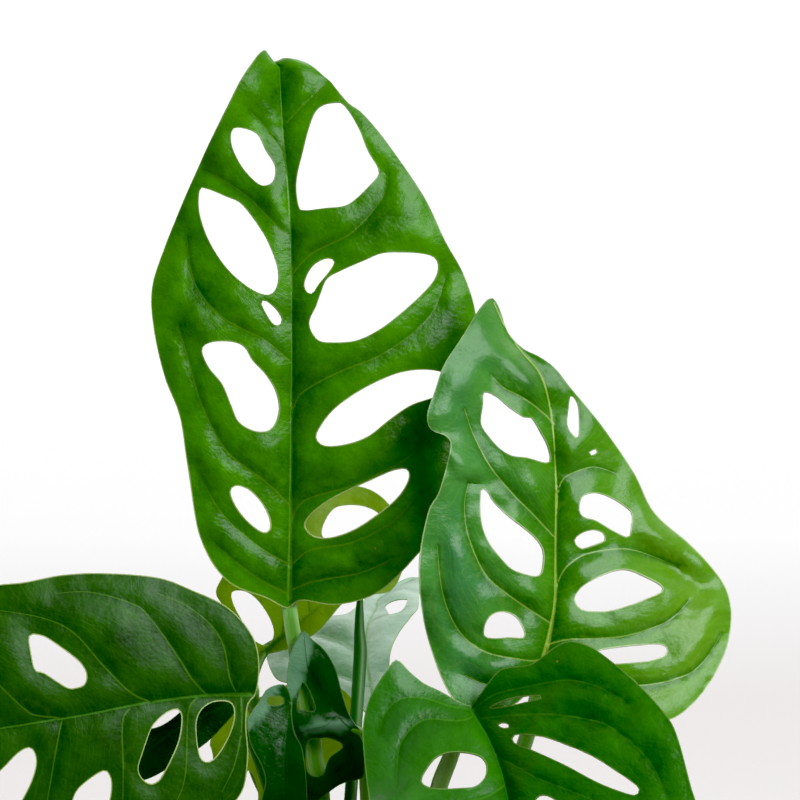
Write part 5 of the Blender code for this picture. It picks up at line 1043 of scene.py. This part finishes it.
places = smoothLine([(*fromFront(*p), r) for p, r in zip(newLeaf["path"], newLeaf["radii"])], 1.1)
points, faces, uv, turns = tubeAlong(places[:, :3], places[:, 3], 40, (0, -1, 0), rolledShape)
edge = np.exp(-((wrapped(turns - newLeaf["edgeAt"]) / 0.35) ** 2))
marks = {"wing": edge, "scar": 0 * edge}
enlist(meshPiece("rolled_leaf", points, faces, finishes["Rolled young blade"], uv, marks), "leaf", "new_leaf")
print("new leaf rolled")


# The pot

def clayMaterial():
    # Unglazed terracotta: chalky orange clay with turning lines, a pale bloom of salts and a darker damp foot
    made, tree = newTree("Unglazed terracotta")
    place = addNode(tree, "TexCoord", give="Object")
    height = addNode(tree, "SeparateXYZ", {0: place}, "Z")
    # clouds of 26 mm, grit of 0.7 mm
    cloud = addNode(tree, "TexNoise", {"Vector": place, "Scale": 38.0, "Detail": 6.0, "Roughness": 0.6})
    grit = addNode(tree, "TexNoise", {"Vector": place, "Scale": 1400.0, "Detail": 2.0})
    flattened = addNode(tree, "Mapping", {"Vector": place, "Scale": (4, 4, 900)})
    lines = addNode(tree, "TexNoise", {"Vector": flattened, "Scale": 1.0, "Detail": 3.0})
    salts = addNode(tree, "Math", {0: cloud, 1: grit}, operation="ADD")
    salts = addNode(tree, "MapRange", {"Value": salts, "From Min": 1.02, "From Max": 1.25})
    damp = addNode(tree, "Math", {0: cloud, 1: -0.03, 2: height}, operation="MULTIPLY_ADD")
    damp = addNode(tree, "MapRange", {"Value": damp, "From Min": -0.008, "From Max": 0.012, "To Min": 0.45,
                                      "To Max": 0.0})
    tint = layered(tree, "#a85a36", [(cloud, 1.0, "#c07a52"), (salts, 0.6, "#dcbfa8"), (damp, 1.0, "#6e3a24")])
    relief = addNode(tree, "Math", {0: lines, 1: grit}, operation="ADD")
    bump = addNode(tree, "Bump", {"Height": relief, "Strength": 0.6, "Distance": 0.0004})
    clay = addNode(tree, "BsdfPrincipled", {"Base Color": tint, "Roughness": 0.88, "IOR": 1.5,
                                            "Normal": bump})
    addNode(tree, "OutputMaterial", {"Surface": clay})
    return made


pot = {
    "sides": 144, "drainHoles": 4, "drainCircle": 22.0, "drainRadius": 5.0, "drainSides": 40, "drill": 30.0,
    # radius and height down the outside from the middle of the foot, over the rim and down the inside
    "profile": [(0.4, 1.2), (30, 1.2), (33, 0.4), (34.5, 0.0), (39.6, 0.0), (40.6, 0.4), (41, 1.4), (46.5, 40),
                (52.3, 84.5), (53.0, 87.6), (54.2, 89), (57.6, 89), (58.6, 89.4), (59.2, 90.4), (59.5, 97),
                (59.9, 106.8), (59.8, 108.6), (59.0, 109.6), (57.6, 110), (55.4, 110), (53.8, 109.7),
                (52.8, 108.8), (52.2, 106.4), (51.5, 101), (38.5, 9.5), (36.5, 7.0), (33, 6.1), (0.4, 6.0)],
}
deselectAll()
bpy.ops.mesh.primitive_plane_add(size=0.002)
body = bpy.context.object
body.name = "turned_pot"
bpy.ops.object.mode_set(mode="EDIT")
bpy.ops.mesh.select_all(action="SELECT")
bpy.ops.mesh.merge(type="CENTER")
bpy.ops.transform.translate(value=(pot["profile"][0][0] * mm, 0, pot["profile"][0][1] * mm))
for (r0, z0), (r1, z1) in zip(pot["profile"], pot["profile"][1:]):
    bpy.ops.mesh.extrude_vertices_move(TRANSFORM_OT_translate={"value": ((r1 - r0) * mm, 0, (z1 - z0) * mm)})
bpy.ops.mesh.select_all(action="SELECT")
bpy.ops.mesh.spin(steps=pot["sides"], angle=2 * math.pi, center=(0, 0, 0), axis=(0, 0, 1))
bpy.ops.mesh.select_all(action="SELECT")
bpy.ops.mesh.remove_doubles(threshold=0.00002)
bpy.ops.mesh.select_all(action="DESELECT")
bpy.ops.mesh.select_non_manifold()
bpy.ops.mesh.edge_face_add()
bpy.ops.mesh.select_all(action="SELECT")
bpy.ops.mesh.normals_make_consistent(inside=False)
bpy.ops.object.mode_set(mode="OBJECT")
for k in range(pot["drainHoles"]):
    turn = 2 * math.pi * (k + 0.5) / pot["drainHoles"]
    deselectAll()
    bpy.ops.mesh.primitive_cylinder_add(
        vertices=pot["drainSides"], radius=pot["drainRadius"] * mm, depth=pot["drill"] * mm,
        location=(pot["drainCircle"] * mm * math.cos(turn), pot["drainCircle"] * mm * math.sin(turn), 0))
    drill = bpy.context.object
    hole = body.modifiers.new("Drain hole", "BOOLEAN")
    hole.operation, hole.solver, hole.object = "DIFFERENCE", "EXACT", drill
    deselectAll()
    body.select_set(True)
    bpy.context.view_layer.objects.active = body
    bpy.ops.object.modifier_apply(modifier="Drain hole")
    bpy.data.objects.remove(drill)
bpy.ops.object.shade_smooth_by_angle(angle=math.radians(40))
body.data.materials.clear()
body.data.materials.append(clayMaterial())
enlist(body, "clay", "pot")
print("pot turned")


# Potting soil: a lumpy bed, with crumbs, bark chips and perlite that lie on it

soil = {
    "level": 97.0, "lump": 1.6, "radius": 50.2, "depth": 12.0, "rings": 61, "ringStep": 0.8, "seed": 5,
    "crumbs": 420, "chips": 46, "perlite": 60, "litterReach": 48.5, "stemRoom": 3.4,
}
luck = np.random.default_rng(soil["seed"])


def soilHeight(x, y):
    lumps = math.sin(0.19 * x + 1.3) * math.cos(0.23 * y - 0.4) + 0.6 * math.sin(0.41 * x - 0.33 * y)
    fine = 0.5 * noise.noise(Vector((x / 3, y / 3, 2))) + 0.35 * noise.noise(Vector((x / 1.3, y / 1.3, 5)))
    return soil["level"] + soil["lump"] * lumps - 0.0009 * (x * x + y * y) + fine


def earthMaterial(name, look):
    # Moist peat, bark or perlite: crumbly, matt, every crumb its own shade
    made, tree = newTree(name)
    place = addNode(tree, "TexCoord", give="Object")
    coarse = addNode(tree, "TexNoise", {"Vector": place, "Scale": 260.0, "Detail": 5.0})   # 4 mm clods
    crumb = addNode(tree, "TexVoronoi", {"Vector": place, "Scale": 900.0})   # 1 mm crumbs
    shade = addNode(tree, "MapRange", {"Value": coarse, "From Min": 0.35, "From Max": 0.68})
    tint = layered(tree, look["dark"], [(shade, 1.0, look["light"]), (crumb, 0.6, look["pit"])])
    relief = addNode(tree, "Math", {0: coarse, 1: crumb}, operation="SUBTRACT")
    bump = addNode(tree, "Bump", {"Height": relief, "Strength": 0.8, "Distance": 0.0006})
    matt = addNode(tree, "BsdfPrincipled", {"Base Color": tint, "Roughness": look["rough"], "IOR": 1.45,
                                            "Normal": bump})
    addNode(tree, "OutputMaterial", {"Surface": matt})
    return made


peat = earthMaterial("Moist peat", {"dark": "#2b1d13", "light": "#57402c", "pit": "#150d08", "rough": 0.95})
bark = earthMaterial("Composted bark", {"dark": "#4f3220", "light": "#8a603d", "pit": "#2c1a0f", "rough": 0.85})
perlite = earthMaterial("Perlite", {"dark": "#d9d5cc", "light": "#f4f2ec", "pit": "#b9b3a8", "rough": 0.9})

deselectAll()
bpy.ops.mesh.primitive_cylinder_add(vertices=96, radius=soil["radius"] * mm, depth=soil["depth"] * mm,
                                    location=(0, 0, (soil["level"] - soil["depth"] / 2) * mm))
bed = bpy.context.object
bed.name = "soil_bed"
bpy.ops.object.transform_apply(location=True)
bpy.ops.object.mode_set(mode="EDIT")
bpy.ops.mesh.select_mode(type="FACE")
bpy.ops.mesh.select_all(action="DESELECT")
bpy.ops.object.mode_set(mode="OBJECT")
for face in bed.data.polygons:
    face.select = face.normal.z > 0.9
bpy.ops.object.mode_set(mode="EDIT")
for k in range(soil["rings"]):
    bpy.ops.mesh.inset(thickness=soil["ringStep"] * mm, depth=0)
bpy.ops.mesh.merge(type="CENTER")
bpy.ops.object.mode_set(mode="OBJECT")
for vertex in bed.data.vertices:
    if vertex.co.z > (soil["level"] - 1) * mm:
        vertex.co.z = soilHeight(vertex.co.x / mm, vertex.co.y / mm) * mm
bpy.ops.object.shade_smooth_by_angle(angle=math.radians(60))
bed.data.materials.clear()
bed.data.materials.append(peat)
enlist(bed, "soil", "soil")


def scatter(name, count, finish, sizes, flat, kind):   # one crumb, turned, stretched and sunk anew each time
    deselectAll()
    if kind == "chip":
        bpy.ops.mesh.primitive_cube_add(size=2)
        bpy.ops.object.mode_set(mode="EDIT")
        bpy.ops.mesh.select_all(action="SELECT")
        bpy.ops.mesh.bevel(offset=0.35, segments=1)
        bpy.ops.object.mode_set(mode="OBJECT")
    else:
        bpy.ops.mesh.primitive_ico_sphere_add(subdivisions=1 if kind == "crumb" else 2, radius=1)
    first = bpy.context.object
    shape = np.array([v.co[:] for v in first.data.vertices])
    sides = [tuple(face.vertices) for face in first.data.polygons]
    bpy.data.objects.remove(first)
    feet = [path[0][:2] for path, _, _ in stems.values()]
    points, faces = [], []
    for k in range(count):
        angle, reach = luck.uniform(0, 2 * math.pi), soil["litterReach"] * math.sqrt(luck.uniform(0.0, 1))
        size = luck.uniform(*sizes)
        x, y = reach * math.cos(angle), reach * math.sin(angle)
        if min(math.hypot(x - px, y - py) for px, py in feet) < soil["stemRoom"] + size:
            continue
        lumpy = shape * (1 + 0.22 * luck.standard_normal((len(shape), 1)))
        stretched = lumpy * size * luck.uniform([0.7, 0.6, flat], [1.5, 1.1, flat + 0.35])
        turn = np.array(Euler((*luck.uniform(-0.5, 0.5, 2), luck.uniform(0, 6.28))).to_matrix())
        start = len(points) * len(shape)
        points.append(stretched @ turn.T + (x, y, soilHeight(x, y) + size * flat * 0.35))
        faces += [tuple(start + i for i in side) for side in sides]
    enlist(meshPiece(name, np.vstack(points), faces, finish, sharpAt=35), "soil")


scatter("soil_crumbs", soil["crumbs"], peat, (0.6, 2.0), 0.7, "crumb")
scatter("bark_chips", soil["chips"], bark, (1.8, 3.8), 0.28, "chip")
scatter("perlite_grains", soil["perlite"], perlite, (0.6, 1.4), 0.7, "grain")
print("soil laid")

# Short aerial roots that reach from the lower nodes into the soil
roots = {"first": [(-8.8, 3.5, 112), (-12, 1, 109), (-14.5, -1, 104), (-15.5, -2.5, 96)],
         "second": [(23.6, -8, 104), (27, -10, 102.5), (29.5, -11.5, 99.5), (30.5, -12.5, 95)],
         "third": [(1.3, 24.5, 108), (-1.5, 22, 106.5), (-4, 20.5, 102), (-5, 20, 95.5)]}
rootRadii = (1.0, 0.85, 0.75, 0.6)
for name, places in roots.items():
    line = smoothLine([(*p, r) for p, r in zip(places, rootRadii)], 0.8)
    points, faces, uv, turns = tubeAlong(line[:, :3], line[:, 3], 12, (0.1, 0.2, 1),
                                         lambda a, at, length: 1 + 0.07 * np.sin(2 * a + 1.7 * at))
    marks = {"wing": 0 * turns, "scar": 0 * turns}
    enlist(meshPiece(f"aerial_root_{name}", points, faces, finishes["Dry aerial root"], uv, marks), "stem")
print("roots made")


# Floor, light and camera

studio = {
    "floorSize": 80.0, "eye": 1.8, "aim": (10, 255, 0), "lens": 324.0, "sensor": 36.0, "black": 0.018,
    "paper": "#f9f8f8", "paperPale": "#fcfcfc", "paperFarShade": "#ededf0", "paperNearShade": "#e9e5e3",
    "flagged": "#8d8d8d", "seenWorld": 0.96,
}
made, tree = newTree("Pale paper floor")
place = addNode(tree, "TexCoord", give="Object")
fleck = addNode(tree, "TexNoise", {"Vector": place, "Scale": 1.5, "Detail": 3.0})
depth = addNode(tree, "SeparateXYZ", {0: place}, "Y")   # painted shade: the paper is greyer near the pot and far at the back
far, near = (addNode(tree, "MapRange", {"Value": depth, "From Min": start, "From Max": end})
             for start, end in ((3.0, 7.0), (2.1, 1.4)))
tint = layered(tree, studio["paper"], [(fleck, 1.0, studio["paperPale"]), (far, 1.0, studio["paperFarShade"]),
                                       (near, 1.0, studio["paperNearShade"])])
# a real studio floor is flagged off from the plant: it looks pale, and throws little light back up
tint = layered(tree, studio["flagged"], [(addNode(tree, "LightPath", give="Is Camera Ray"), 1.0, tint)])
paper = addNode(tree, "BsdfPrincipled", {"Base Color": tint, "Roughness": 0.95, "Specular IOR Level": 0.0})
addNode(tree, "OutputMaterial", {"Surface": paper})
deselectAll()
bpy.ops.mesh.primitive_plane_add(size=studio["floorSize"], location=(0, 0, 0))
floor = bpy.context.object
floor.name = "floor"
floor.data.materials.append(made)

world = bpy.data.worlds.new("studio")
bpy.context.scene.world = world
world.use_nodes = True
tree = world.node_tree
tree.nodes.clear()
way = addNode(tree, "TexCoord", give="Generated")
north, up = (addNode(tree, "SeparateXYZ", {0: way}, axis) for axis in "YZ")
behind = addNode(tree, "MapRange", {"Value": north, "From Min": -0.35, "From Max": 0.5, "To Min": 0.03,
                                    "To Max": 0.9})
above = addNode(tree, "MapRange", {"Value": up, "From Min": 0.3, "From Max": 0.9, "To Min": 0.0, "To Max": 0.3})
glow = addNode(tree, "Math", {0: behind, 1: above}, operation="MAXIMUM")
seen = addNode(tree, "LightPath", give="Is Camera Ray")
power = addNode(tree, "Mix", {0: seen, 2: glow, 3: studio["seenWorld"]})
sky = addNode(tree, "Background", {"Color": (0.99, 0.985, 1.0, 1), "Strength": power})
addNode(tree, "OutputWorld", {"Surface": sky})

softboxes = {   # place, what it faces, size, radiance, colour
    "window": ((1.2, -1.44, 1.56), (0, 0, 0.24), 1.8, 6.4, (0.92, 1.0, 1.02)),
    "backdrop wash": ((0.0, 9.5, 5.0), (0, 9.5, 0), 14.0, 1.2, (1.0, 0.985, 0.985)),
}
for name, (place, target, size, radiance, tone) in softboxes.items():
    lamp = bpy.data.lights.new(name, "AREA")
    lamp.size = size
    lamp.energy = radiance * math.pi * size**2
    lamp.color = tone
    box = bpy.data.objects.new(name, lamp)
    box.location = place
    box.rotation_euler = (Vector(target) - Vector(place)).to_track_quat("-Z", "Y").to_euler()
    box.visible_camera = False
    bpy.context.scene.collection.objects.link(box)

lens = bpy.data.cameras.new("camera")
lens.sensor_width, lens.lens = studio["sensor"], studio["lens"]
lens.clip_start, lens.clip_end = 0.05, 200.0
camera = bpy.data.objects.new("camera", lens)
bpy.context.scene.collection.objects.link(camera)
camera.location = fromFront(*studio["aim"]) * mm + fromFront(0, 0, studio["eye"])
camera.rotation_euler = (math.pi / 2 - frontTilt, 0, 0)
bpy.context.scene.camera = camera
view = bpy.context.scene.view_settings
view.view_transform = "Standard"
view.use_curve_mapping = True
view.curve_mapping.black_level = (studio["black"],) * 3

print("studio set")
